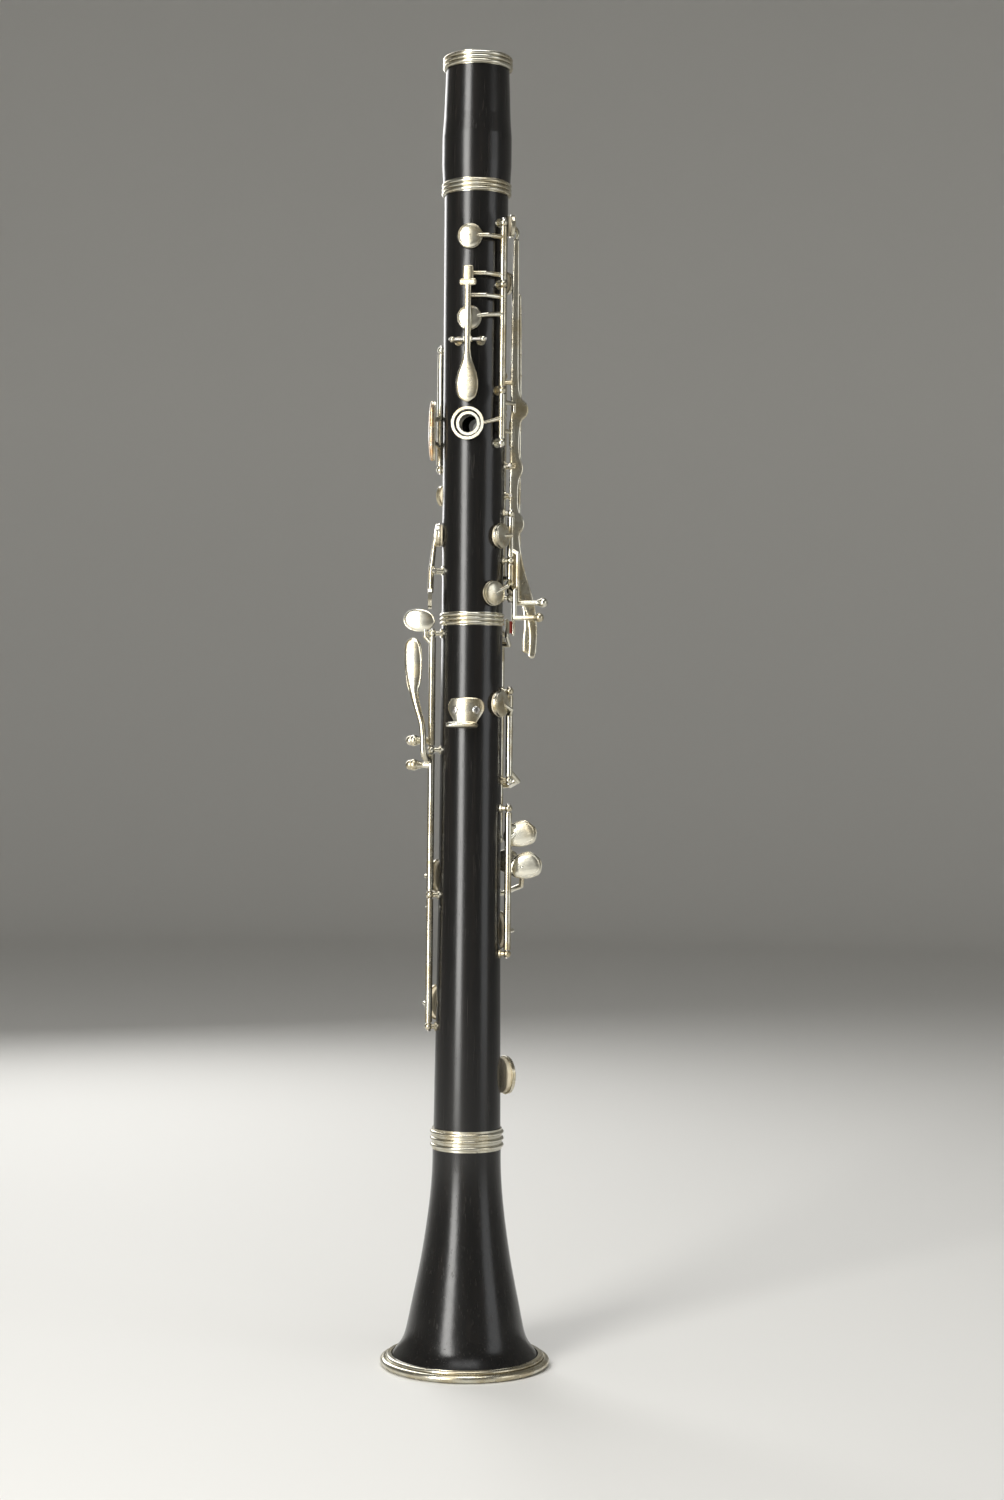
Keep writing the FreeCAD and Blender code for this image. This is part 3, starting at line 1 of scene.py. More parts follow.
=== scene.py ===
"""A clarinet's looks: turned black wood, plated keywork, skin pads and a pale studio."""

import json
import math

import bpy
import numpy as np
from bpy.props import FloatProperty, FloatVectorProperty, IntProperty, PointerProperty
from mathutils import Matrix, Vector


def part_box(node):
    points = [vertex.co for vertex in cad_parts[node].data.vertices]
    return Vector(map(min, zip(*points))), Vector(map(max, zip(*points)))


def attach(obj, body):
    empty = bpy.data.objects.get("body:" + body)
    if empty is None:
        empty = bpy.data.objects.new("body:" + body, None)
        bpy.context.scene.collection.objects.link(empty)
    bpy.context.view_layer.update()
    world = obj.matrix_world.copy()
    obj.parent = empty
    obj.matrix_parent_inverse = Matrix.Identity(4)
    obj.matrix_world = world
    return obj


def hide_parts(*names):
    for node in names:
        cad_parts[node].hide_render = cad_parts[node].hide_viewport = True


bl_info = {
    "name": "Clarinet Finish",
    "version": (1, 0, 0),
    "blender": (4, 5, 0),
    "location": "View3D > Sidebar > Clarinet",
    "description": "Finishes a clarinet's wood, keywork, pads and cork, and sets its studio",
    "category": "Object",
}

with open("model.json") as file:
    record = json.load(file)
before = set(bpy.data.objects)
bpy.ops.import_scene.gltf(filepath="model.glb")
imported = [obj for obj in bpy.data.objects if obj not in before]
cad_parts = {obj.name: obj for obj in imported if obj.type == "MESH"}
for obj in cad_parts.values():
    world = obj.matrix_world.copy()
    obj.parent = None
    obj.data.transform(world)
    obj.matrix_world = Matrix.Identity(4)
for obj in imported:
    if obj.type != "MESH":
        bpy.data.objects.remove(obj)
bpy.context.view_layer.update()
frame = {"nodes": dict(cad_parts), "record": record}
MM = 0.001


# ------------------------------------------------------------------ settings

def colour(name, description, default):
    """A colour that a user may change."""
    return FloatVectorProperty(name=name, description=description, default=default,
                               subtype="COLOR", size=3, min=0.0, max=1.0)


class ClarinetFinish(bpy.types.PropertyGroup):
    """Colours and wear of the instrument's surfaces."""

    wood: colour("Wood", "Colour of the oiled black wood", (0.0055, 0.0052, 0.0050))
    grain: colour("Grain", "Colour of the wood's paler pores", (0.020, 0.016, 0.013))
    plate: colour("Plate", "Colour of the clean key plating", (0.74, 0.72, 0.62))
    tarnish: colour("Tarnish", "Colour of the warm film on old plating", (0.46, 0.37, 0.20))
    brass: colour("Brass", "Colour of worn plating where the brass shows", (0.62, 0.33, 0.10))
    steel: colour("Steel", "Colour of the rods and screws", (0.50, 0.50, 0.49))
    skin: colour("Skin", "Colour of the pads' skin", (0.80, 0.71, 0.52))
    cork: colour("Cork", "Colour of the tenon corks", (0.52, 0.33, 0.18))
    red_cork: colour("Red cork", "Colour of the bridge's cork", (0.42, 0.05, 0.03))
    wear: FloatProperty(name="Wear", description="How much tarnish the plating has",
                        default=0.5, min=0.0, max=1.0, subtype="FACTOR")


class ClarinetShapes(bpy.types.PropertyGroup):
    """Sizes of the pieces that are finished here."""

    pad_swell: FloatProperty(name="Pad swell", description="How far a pad's face bulges",
                             default=0.00025, min=0.0, max=0.001, unit="LENGTH")
    cup_skin: FloatProperty(name="Cup skin", description="How far a cup's shell stands out",
                            default=0.00008, min=0.0, max=0.0005, unit="LENGTH")
    turns: IntProperty(name="Turns", description="Points round a turned piece",
                       default=96, min=24, max=256)


class ClarinetStudio(bpy.types.PropertyGroup):
    """The camera, the floor and the lights."""

    distance: FloatProperty(name="Distance", description="From the bore's axis to the camera",
                            default=1.141, min=0.5, max=3.0, unit="LENGTH")
    azimuth: FloatProperty(name="Azimuth", description="How far the camera stands to the right",
                           default=math.radians(9.5), unit="ROTATION")
    height: FloatProperty(name="Height", description="Height of the camera above the floor",
                          default=0.2799, min=0.0, max=2.0, unit="LENGTH")
    aside: FloatProperty(name="Aside", description="How far the camera looks past the axis",
                         default=0.0142, unit="LENGTH")
    roll: FloatProperty(name="Roll", description="Lean of the camera about its own line",
                        default=math.radians(0.6), unit="ROTATION")
    lens: FloatProperty(name="Lens", description="Focal length in millimetres",
                        default=60.0, min=20.0, max=200.0)
    floor: colour("Floor", "Colour of the floor and backdrop", (0.78, 0.77, 0.74))
    key_power: FloatProperty(name="Key light", description="Strength of the main lamp in watts",
                             default=20.0, min=0.0, max=500.0)


# ------------------------------------------------------------------ shader maths

class Sock:
    """A number in a material: an expression on it adds its Math nodes."""

    def __init__(self, tree, value):
        self.tree = tree
        self.value = value

    def math(self, operation, other):
        return self.tree.add("ShaderNodeMath", {"operation": operation},
                             {0: self.value, 1: other})

    def __add__(self, other):
        return self.math("ADD", other)

    __radd__ = __add__

    def __mul__(self, other):
        return self.math("MULTIPLY", other)

    __rmul__ = __mul__

    def __rsub__(self, other):
        return (self * -1.0) + other

    def over(self, edge, soft):
        """0 below the edge and 1 above it, with a soft step between."""
        return self.tree.add(
            "ShaderNodeMapRange", {"interpolation_type": "SMOOTHSTEP", "clamp": True},
            {"Value": self.value, "From Min": edge - soft, "From Max": edge + soft})


class Tree:
    """A material's nodes, added one by one through a single method."""

    def __init__(self, name):
        self.material = bpy.data.materials.new(name)
        self.material.use_nodes = True
        self.nodes = self.material.node_tree.nodes
        self.links = self.material.node_tree.links
        self.nodes.clear()
        self.shader = self.nodes.new("ShaderNodeBsdfPrincipled")
        end = self.nodes.new("ShaderNodeOutputMaterial")
        self.links.new(self.shader.outputs[0], end.inputs[0])
        self.place = self.add("ShaderNodeTexCoord", {}, {}, output="Object")

    def add(self, kind, settings, values, output=0):
        """One node: its settings first, then a value or a link for each socket."""
        node = self.nodes.new(kind)
        for name, setting in settings.items():
            setattr(node, name, setting)
        for name, value in values.items():
            socket = node.inputs[name]
            if isinstance(value, Sock):
                value = value.value
            if isinstance(value, bpy.types.NodeSocket):
                self.links.new(value, socket)
            else:
                socket.default_value = value
        return Sock(self, node.outputs[output])

    def stretched(self, scale):
        """The object's own coordinates, stretched along each axis."""
        return self.add("ShaderNodeMapping", {}, {"Vector": self.place, "Scale": scale})

    def noise(self, scale, detail=4.0, rough=0.55, vector=None):
        return self.add("ShaderNodeTexNoise", {}, {
            "Vector": vector or self.place, "Scale": scale, "Detail": detail,
            "Roughness": rough})

    def mix(self, share, first, second):
        """A colour between two colours."""
        first = (*first, 1.0) if isinstance(first, tuple) else first
        second = (*second, 1.0) if isinstance(second, tuple) else second
        return self.add("ShaderNodeMix", {"data_type": "RGBA", "clamp_factor": True},
                        {0: share, 6: first, 7: second}, output=2)

    def bump(self, height, strength, distance):
        return self.add("ShaderNodeBump", {}, {
            "Height": height, "Strength": strength, "Distance": distance})

    def finish(self, **sockets):
        """Set or link the shader's own sockets, and give the material."""
        for name, value in sockets.items():
            socket = self.shader.inputs[name.replace("_", " ")]
            if isinstance(value, Sock):
                self.links.new(value.value, socket)
            elif isinstance(value, tuple) and len(value) == 3:
                socket.default_value = (*value, 1.0)
            else:
                socket.default_value = value
        return self.material


def finish_settings():
    return bpy.context.scene.clarinet_finish


def make_wood():
    """Oiled black hardwood: fine upright pores, a soft sheen and faint handling marks."""
    look = finish_settings()
    tree = Tree("oiled_wood")
    fibres = tree.noise(1.0, 2.0, 0.6, tree.stretched((1500.0, 1500.0, 60.0)))
    streaks = tree.noise(1.0, 3.0, 0.5, tree.stretched((420.0, 420.0, 9.0)))
    handling = tree.noise(46.0, 4.0, 0.6)
    pores = fibres.over(0.66, 0.05)
    tint = tree.mix(pores * 0.55 + streaks.over(0.6, 0.14) * 0.3, tuple(look.wood),
                    tuple(look.grain))
    rough = 0.17 + handling * 0.12 + pores * 0.1
    relief = tree.bump(streaks * 0.7 + handling * 0.3, 0.05, 0.0001)
    return tree.finish(Base_Color=tint, Roughness=rough, Normal=relief,
                       Specular_IOR_Level=0.5)


def make_plate(name, shade=1.0, warmth=1.0, film_colour=None):
    """Worn plating: clean metal, a warm film in clouds, small dark specks, fine scratches."""
    look = finish_settings()
    tree = Tree(name)
    clouds = tree.noise(85.0, 5.0, 0.6)
    patches = tree.noise(260.0, 4.0, 0.62)
    specks = tree.noise(900.0, 2.0, 0.5)
    scratches = tree.noise(1.0, 2.0, 0.5, tree.stretched((500.0, 500.0, 1400.0)))
    film = clouds.over(0.56 - 0.1 * look.wear, 0.14) * (0.75 * warmth)
    stain = (clouds * 0.55 + patches * 0.45).over(0.58, 0.06) * (0.45 * look.wear)
    dark = specks.over(0.72, 0.035) * (0.8 * look.wear)
    clean = tuple(shade * part for part in look.plate)
    brown = tuple(0.32 * part for part in look.tarnish)
    tint = tree.mix(film, clean, film_colour or tuple(look.tarnish))
    tint = tree.mix(stain, tint, brown)
    tint = tree.mix(dark, tint, (0.05, 0.04, 0.03))
    rough = 0.17 + film * 0.14 + stain * 0.22 + dark * 0.3 + scratches * 0.07
    relief = tree.bump(scratches * 0.3 + patches * 0.7, 0.06, 0.0001)
    return tree.finish(Base_Color=tint, Roughness=rough, Normal=relief,
                       Metallic=1.0 - dark * 0.6)


def make_steel():
    """Turned steel with fine rings along its length."""
    look = finish_settings()
    tree = Tree("turned_steel")
    rings = tree.noise(1.0, 2.0, 0.5, tree.stretched((200.0, 200.0, 1600.0)))
    clouds = tree.noise(200.0)
    tint = tree.mix(clouds.over(0.55, 0.2), tuple(look.steel), (0.30, 0.25, 0.19))
    return tree.finish(Base_Color=tint, Metallic=1.0, Roughness=0.26 + rings * 0.12,
                       Normal=tree.bump(rings, 0.08, 0.00005))


def make_skin():
    """Thin cream skin over felt, with faint creases and a grey bloom."""
    look = finish_settings()
    tree = Tree("pad_membrane")
    creases = tree.noise(900.0, 6.0, 0.7)
    bloom = tree.noise(180.0, 3.0, 0.5)
    tint = tree.mix(bloom.over(0.56, 0.12) * 0.5, tuple(look.skin), (0.58, 0.47, 0.31))
    return tree.finish(Base_Color=tint, Roughness=0.55 + creases * 0.2,
                       Normal=tree.bump(creases, 0.25, 0.0001), Sheen_Weight=0.15)


def make_cork(name, shade):
    """Cork: small cells with darker gaps between them."""
    tree = Tree(name)
    cells = tree.add("ShaderNodeTexVoronoi", {"feature": "DISTANCE_TO_EDGE"},
                     {"Vector": tree.place, "Scale": 1500.0})
    grains = tree.noise(500.0, 4.0, 0.6)
    gaps = 1.0 - cells.over(0.06, 0.05)
    dark = tuple(0.35 * part for part in shade)
    tint = tree.mix(gaps * 0.6 + grains.over(0.62, 0.06) * 0.5, shade, dark)
    return tree.finish(Base_Color=tint, Roughness=0.8,
                       Normal=tree.bump(cells.over(0.1, 0.1), 0.3, 0.0001))


def make_slot_shade():
    """Painted shade for the dark inside of a screw's slot: a near-black colour with a faint
    mottle.
    """
    tree = Tree("painted_slot_shade")
    slot_mottle = tree.noise(900.0, 2.0, 0.5)
    return tree.finish(Base_Color=tree.mix(slot_mottle, (0.02, 0.018, 0.015), (0.06, 0.05, 0.04)),
                       Roughness=0.7)


def make_floor():
    """A plain pale floor with a very faint mottling."""
    tree = Tree("studio_floor")
    base = tuple(bpy.context.scene.clarinet_studio.floor)
    mottle = tree.noise(3.0, 2.0, 0.4)
    tint = tree.mix(mottle * 0.12, base, tuple(0.9 * part for part in base))
    return tree.finish(Base_Color=tint, Roughness=0.75)


def finish_for(name):
    """The named material, made once."""
    known = bpy.data.materials.get(name)
    if known:
        return known
    look = finish_settings()
    makers = {
        "oiled_wood": make_wood,
        "key_plate": lambda: make_plate("key_plate"),
        "ring_plate": lambda: make_plate("ring_plate", 0.92, 0.8),
        "warm_plate": lambda: make_plate("warm_plate", 0.8, 1.3, tuple(look.brass)),
        "turned_steel": make_steel,
        "pad_membrane": make_skin,
        "tenon_cork": lambda: make_cork("tenon_cork", tuple(look.cork)),
        "bridge_cork": lambda: make_cork("bridge_cork", tuple(look.red_cork)),
        "studio_floor": make_floor,
        # painted shade for the inside of the screws' slots
        "painted_slot_shade": make_slot_shade,
    }
    return makers[name]()


SLOT_FINISH = {
    "black_wood": "oiled_wood", "key_silver": "key_plate", "steel": "turned_steel",
    "pad_skin": "pad_membrane", "cork": "tenon_cork", "red_cork": "bridge_cork",
}


# ------------------------------------------------------------------ surfaces

BODY_OF = {node: body for body, nodes in frame["record"]["behaviour"]["bodies"].items()
           for node in nodes}


def outward(angle):
    """The level direction at an angle: 0 is the back, 90 the right, 180 the front."""
    turn = math.radians(angle)
    return np.array([math.sin(turn), -math.cos(turn), 0.0])


def spot(angle, radius, height):
    """A point in metres from an angle in degrees and a radius and height in millimetres."""
    return (outward(angle) * radius + np.array([0.0, 0.0, height])) * MM


def unit(vector):
    vector = np.asarray(vector, dtype=float)
    return vector / np.linalg.norm(vector)


def grid_piece(name, grid, finish, sharp=40.0):
    """A closed skin over a grid of points: each row is a closed loop, and the first and last
    rows are shut with a fan to their own middle. The faces are turned outward by the sign of
    the volume that they hold, the sum over faces of centre dot area vector."""
    rows, turns, _ = grid.shape
    ends = np.stack([grid[0].mean(axis=0), grid[-1].mean(axis=0)])
    points = np.concatenate([grid.reshape(-1, 3), ends])
    row, turn = np.meshgrid(np.arange(rows - 1), np.arange(turns), indexing="ij")
    after = (turn + 1) % turns
    quads = np.stack([row * turns + turn, row * turns + after,
                      (row + 1) * turns + after, (row + 1) * turns + turn], axis=-1)
    quads = quads.reshape(-1, 4)
    around = np.arange(turns)
    following = (around + 1) % turns
    first = np.full(turns, rows * turns)
    last = first + 1
    base = (rows - 1) * turns
    fans = np.concatenate([np.stack([first, following, around], axis=-1),
                           np.stack([last, base + around, base + following], axis=-1)])
    corners = points[quads]
    area = np.cross(corners[:, 2] - corners[:, 0], corners[:, 3] - corners[:, 1])
    centres = corners.mean(axis=1) - points.mean(axis=0)
    if centres.reshape(-1).dot(area.reshape(-1)) < 0:
        quads = quads[:, ::-1]
        fans = fans[:, ::-1]
    mesh = bpy.data.meshes.new(name)
    mesh.from_pydata(points.tolist(), [], quads.tolist() + fans.tolist())
    mesh.polygons.foreach_set("use_smooth", np.ones(len(mesh.polygons), dtype=bool))
    mesh.set_sharp_from_angle(angle=math.radians(sharp))
    mesh.materials.append(finish_for(finish))
    piece = bpy.data.objects.new(name, mesh)
    bpy.context.scene.collection.objects.link(piece)
    return piece


def across_axes(axis):
    """Two directions square to an axis and to each other."""
    axis = unit(axis)
    helper = np.array([0.0, 0.0, 1.0]) if abs(axis[2]) < 0.9 else np.array([1.0, 0.0, 0.0])
    side = unit(np.cross(axis, helper))
    return side, np.cross(axis, side)


def turned_piece(name, profile, start, axis, finish, turns, sharp=40.0):
    """A turned form: each (radius, height) of the profile becomes a circle of that radius,
    at that height from the start along the axis, in millimetres."""
    profile = np.asarray(profile, dtype=float)
    side, other = across_axes(axis)
    angle = np.linspace(0.0, 2 * np.pi, turns, endpoint=False)
    ring = np.cos(angle)[:, None] * side + np.sin(angle)[:, None] * other
    grid = (np.asarray(start)[None, None, :]
            + profile[:, 1, None, None] * MM * unit(axis)[None, None, :]
            + profile[:, 0, None, None] * MM * ring[None, :, :])
    return grid_piece(name, grid, finish, sharp)


def fillet(corner, radius, start, end, steps=6):
    """Points on a quarter turn about a centre, between two angles in degrees."""
    angles = np.radians(np.linspace(start, end, steps))
    return [(corner[0] + radius * math.cos(a), corner[1] + radius * math.sin(a))
            for a in angles]


def smooth_path(points, count):
    """A smooth curve through points: each coordinate is a cubic Hermite curve with tangents
    taken from the points on either side."""
    points = np.asarray(points, dtype=float)
    if points.ndim == 1:
        points = points[:, None]
    knots = np.arange(len(points), dtype=float)
    tangents = np.gradient(points, axis=0)
    at = np.linspace(0.0, knots[-1], count)
    low = np.clip(at.astype(int), 0, len(points) - 2)
    t = (at - low)[:, None]
    a, b = points[low], points[low + 1]
    ta, tb = tangents[low], tangents[low + 1]
    return ((2 * t**3 - 3 * t**2 + 1) * a + (t**3 - 2 * t**2 + t) * ta
            + (-2 * t**3 + 3 * t**2) * b + (t**3 - t**2) * tb)


def blade_piece(name, path, widths, depths, facing, finish, rows, ends, squareness=3.0,
                turns=28):
    """A bar along a smooth path. Its section is a superellipse, |x/a|^n + |y/b|^n = 1, whose
    half-width a and half-depth b follow the lists of widths and depths. Within the length
    named for each end, both shrink as a quarter circle. Millimetres."""
    line = smooth_path(path, rows)
    length = np.concatenate([[0.0], np.cumsum(np.linalg.norm(np.diff(line, axis=0), axis=1))])
    start = np.clip(length / max(ends[0], 1e-6), 0.0, 1.0)
    stop = np.clip((length[-1] - length) / max(ends[1], 1e-6), 0.0, 1.0)
    rounding = np.sqrt(1.0 - (1.0 - start) ** 2) * np.sqrt(1.0 - (1.0 - stop) ** 2)
    rounding = np.clip(rounding, 0.02, 1.0)
    half_width = smooth_path(widths, rows)[:, 0] / 2 * rounding
    half_depth = smooth_path(depths, rows)[:, 0] / 2 * rounding
    along = np.gradient(line, axis=0)
    along /= np.linalg.norm(along, axis=1, keepdims=True)
    face = np.broadcast_to(unit(facing), along.shape)
    face = face - (face * along).sum(axis=1, keepdims=True) * along
    face /= np.linalg.norm(face, axis=1, keepdims=True)
    side = np.cross(along, face)
    angle = np.linspace(0.0, 2 * np.pi, turns, endpoint=False)
    power = 2.0 / squareness
    x = np.sign(np.cos(angle)) * np.abs(np.cos(angle)) ** power
    y = np.sign(np.sin(angle)) * np.abs(np.sin(angle)) ** power
    grid = (line[:, None, :] + x[None, :, None] * half_width[:, None, None] * side[:, None, :]
            + y[None, :, None] * half_depth[:, None, None] * face[:, None, :])
    return grid_piece(name, grid * MM, finish, 50.0)


def pillow_piece(name, centre, longways, facing, half_length, half_width, depth, finish,
                 crown):
    """A cushion-edged oval plate. From the middle of the face to the middle of the back, the
    share of the outline's radius is the sine of the sweep to a power, and the height its
    cosine to a smaller one, with a crown that rises as one less the square of the share."""
    rows, turns = 26, 64
    sweep = np.linspace(0.02, np.pi - 0.02, rows)
    share = np.sin(sweep) ** 0.32
    height = np.sign(np.cos(sweep)) * np.abs(np.cos(sweep)) ** 0.5
    angle = np.linspace(0.0, 2 * np.pi, turns, endpoint=False)
    face = unit(facing)
    lengthwise = unit(np.asarray(longways) - np.dot(longways, face) * face)
    side = np.cross(face, lengthwise)
    lift = height * depth / 2 + crown * (1 - share**2) * (height > 0)
    grid = (np.asarray(centre)[None, None, :]
            + share[:, None, None] * (half_length * np.cos(angle)[None, :, None] * lengthwise
                                      + half_width * np.sin(angle)[None, :, None] * side)
            + lift[:, None, None] * face)
    return grid_piece(name, grid * MM, finish, 60.0)


# ------------------------------------------------------------------ pieces

def shapes():
    return bpy.context.scene.clarinet_shapes


def pad_measure(node):
    """Where a pad lies: the middle of its inner face, the way it faces, radius and depth,
    in millimetres. A disc of radius R and depth T that faces (a, b) fills a box of
    2R|b| + T|a| by 2R|a| + T|b|."""
    low, high = (np.array(corner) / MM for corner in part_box(node))
    middle = (low + high) / 2
    facing = unit([middle[0], middle[1], 0.0])
    radius = (high[2] - low[2]) / 2
    extent = high - low
    if abs(facing[0]) > abs(facing[1]):
        depth = (extent[0] - 2 * radius * abs(facing[1])) / abs(facing[0])
    else:
        depth = (extent[1] - 2 * radius * abs(facing[0])) / abs(facing[1])
    return middle - facing * depth / 2, facing, radius, depth


def ride_with(node, slot, *pieces):
    """Make pieces move with the body of a CAD node. The finish slot that it is given is not
    used.
    """
    for piece in pieces:
        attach(piece, BODY_OF[node])


def pads():
    return sorted(node for node in frame["nodes"] if node.endswith("_pad"))


PAD_EDGE = 0.45
DENT_DEPTH = 0.14
DENT_PLACE = 0.68
DENT_BREADTH = 0.07


def make_pad(node):
    """A pad with a soft round edge and the ring that its tone hole has pressed into it."""
    face, facing, radius, depth = pad_measure(node)
    swell = shapes().pad_swell / MM
    soft = min(PAD_EDGE, depth * 0.25)
    across = np.linspace(0.0, 1.0, 22)[1:]
    reach = (radius - soft) * across
    dent = DENT_DEPTH * np.exp(-((across - DENT_PLACE) / DENT_BREADTH) ** 2)
    bulge = swell * (1 - across**2)
    profile = [(0.01, -swell)] + list(zip(reach, dent - bulge))
    profile += fillet((radius - soft, soft), soft, -90, 0)
    profile += [(radius, depth - 0.2), (radius - 0.1, depth), (0.01, depth)]
    piece = turned_piece(node + "_skin", profile, face * MM, facing, "pad_membrane",
                         shapes().turns)
    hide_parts(node)
    ride_with(node, "pad_skin", piece)


CUP_WALL = 0.45
CUP_ROOF = 0.7
CUP_MOUTH = 1.0
CUP_BEAD = 0.22
CUP_PLAY = 0.06


def make_cup(node):
    """The spun shell of a cup: a rim bead, an upright wall, a stepped shoulder and a crown."""
    face, facing, radius, depth = pad_measure(node)
    skin = shapes().cup_skin / MM
    wall = radius + CUP_WALL + skin
    mouth = depth - CUP_MOUTH
    roof = depth + CUP_ROOF + skin
    inside = radius + CUP_PLAY
    profile = [(inside, mouth + CUP_PLAY), (wall - 0.05, mouth - 0.04)]
    profile += fillet((wall, mouth + 0.18), CUP_BEAD, -80, 80, 7)
    profile += [(wall, mouth + 0.5), (wall, roof - CUP_BEAD)]
    profile += fillet((wall - CUP_BEAD, roof - CUP_BEAD), CUP_BEAD, 0, 80, 5)
    shoulder = wall - 0.16 * radius
    rise = np.linspace(0.0, 1.0, 14)
    crown = roof + 0.18 + (0.52 + 0.02 * radius) * np.sin(rise * np.pi / 2)
    inward = shoulder * (1 - rise**1.25) + 0.01
    profile += [(shoulder + 0.12, roof + 0.13)] + list(zip(inward, crown))
    profile += [(0.01, depth + 0.35), (radius + 0.02, depth + 0.35), (inside, mouth + 0.3)]
    name = node.removesuffix("_pad") + "_cup"
    shell = turned_piece(name, profile, face * MM, facing, "key_plate", shapes().turns, 35.0)
    ride_with(node, "key_silver", shell)


LOWER_FOOT = 107.7
UPPER_FOOT = 342.2


def upper(height):
    """The height of a place on the upper joint, measured from its foot, in millimetres."""
    return UPPER_FOOT + height


def lower(height):
    """The height of a place on the lower joint, measured from its foot, in millimetres."""
    return LOWER_FOOT + height


LEVER_STAND = -19.55
PIVOT_DROP = 0.7


def make_register_lever():
    """The register lever: a flat tab and cross-piece, a slim neck over its lug and a long
    spoon for the thumb, all one bar with a changing section."""
    heights = [155.2, 152.0, 149.4, 146.0, 132.0, 122.0, 117.5, 112.5, 107.0, 102.0, 97.0, 93.7]
    widths = [4.6, 4.7, 4.7, 2.9, 2.9, 3.0, 3.0, 4.6, 8.4, 10.2, 8.6, 4.2]
    depths = [1.5, 1.5, 1.5, 1.5, 1.7, 2.2, 2.4, 2.6, 2.4, 2.2, 2.1, 1.6]
    path = [(0.0, LEVER_STAND, upper(height)) for height in heights]
    blade = blade_piece("register_lever_blade", path, widths, depths, (0.0, -1.0, 0.0),
                        "key_plate", squareness=2.6, rows=150, turns=40, ends=(0.6, 2.6))
    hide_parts("register_lever")
    across = [(x, LEVER_STAND, upper(147.6)) for x in (-3.9, -2.0, 0.0, 2.0, 3.9)]
    cross = blade_piece("register_lever_cross", across, [3.0, 3.1, 3.2, 3.1, 3.0],
                        [1.7] * 5, (0.0, -1.0, 0.0), "key_plate", rows=40, ends=(0.8, 0.8))
    pivot = [(side * 2.3, LEVER_STAND + PIVOT_DROP, upper(122.0)) for side in (-1, 1)]
    lug = blade_piece("register_lever_lug", pivot, [2.9, 2.9], [2.9, 2.9], (0.0, -1.0, 0.0),
                      "key_plate", squareness=2.0, rows=12, ends=(0.3, 0.3))
    ride_with("register_lever", "key_silver", blade, cross, lug)


# One row for each place along a long side lever: how far right of the axis the middle of
# the lever lies, its height and its width, all in millimetres.
HIGH_LEVER = [
    (17.8, upper(172.0), 2.6), (17.8, upper(160.0), 3.0), (17.7, upper(140.0), 3.4),
    (17.7, upper(120.0), 3.6), (17.8, upper(105.0), 3.9), (18.5, upper(98.0), 5.0),
    (20.1, upper(93.2), 8.2), (18.5, upper(88.0), 5.2), (18.0, upper(78.0), 4.4),
    (18.3, upper(71.0), 4.8), (19.0, upper(66.2), 6.2), (18.0, upper(61.0), 4.6),
    (17.8, upper(52.0), 4.2), (18.2, upper(46.0), 4.8), (19.4, upper(41.0), 7.0),
    (18.2, upper(36.0), 5.2), (18.4, upper(29.0), 6.0), (18.9, upper(21.0), 8.0),
    (20.9, upper(13.0), 8.6), (24.0, upper(7.5), 6.2), (26.4, upper(0.0), 4.6),
    (27.4, lower(226.0), 3.8), (27.3, lower(219.0), 3.6), (26.7, lower(214.0), 3.2),
]
LOW_LEVER = [
    (18.4, upper(147.0), 2.6), (18.4, upper(130.0), 3.2), (18.4, upper(100.0), 3.8),
    (18.4, upper(60.0), 3.8), (18.6, upper(40.0), 3.6), (19.2, upper(24.0), 3.6),
    (21.0, upper(13.0), 3.6), (23.2, upper(4.0), 3.6), (24.6, lower(230.0), 4.2),
    (24.8, lower(223.0), 5.6), (24.6, lower(216.5), 5.4),
]


# How far below a lever's top its arm leaves it, and how far the arm's middle stands out.
ARM_DROP = 1.2
ARM_RISE = 1.2


def make_trill_lever(node, line, front, pivot):
    """A long side lever: one bar whose width swells in places, that leaves the wood at its
    foot and turns toward the finger, with a lug at its pivot and an arm to its cup."""
    path = [(right, front, height) for right, height, _ in line]
    widths = [width for _, _, width in line]
    blade = blade_piece(node + "_blade", path, widths, [1.35] * len(line),
                        (0.22, -0.97, 0.0), "key_plate", squareness=2.6, rows=260, turns=28,
                        ends=(1.0, 1.4))
    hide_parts(node)
    across = [(right, front, pivot) for right in (16.0, 19.0)]
    lug = blade_piece(node + "_lug", across, [3.0, 3.0], [2.6, 2.6], (0.0, -1.0, 0.0),
                      "key_plate", squareness=2.2, rows=12, ends=(0.3, 0.3))
    face, facing, _, depth = pad_measure(node.replace("_key", "_pad"))
    crown = face + facing * (depth + 1.0)
    level = np.array([1, 1, 0])
    start = np.array([line[0][0], front, line[0][1] - ARM_DROP])
    middle = (start + crown) / 2 + unit((start + crown) * level) * ARM_RISE
    arm = blade_piece(node + "_arm", [start, middle, crown], [2.4, 2.0, 1.7],
                      [1.6, 1.6, 1.4], unit(middle * level), "key_plate",
                      squareness=2.0, rows=30, ends=(0.6, 0.6))
    ride_with(node, "key_silver", blade, lug, arm)


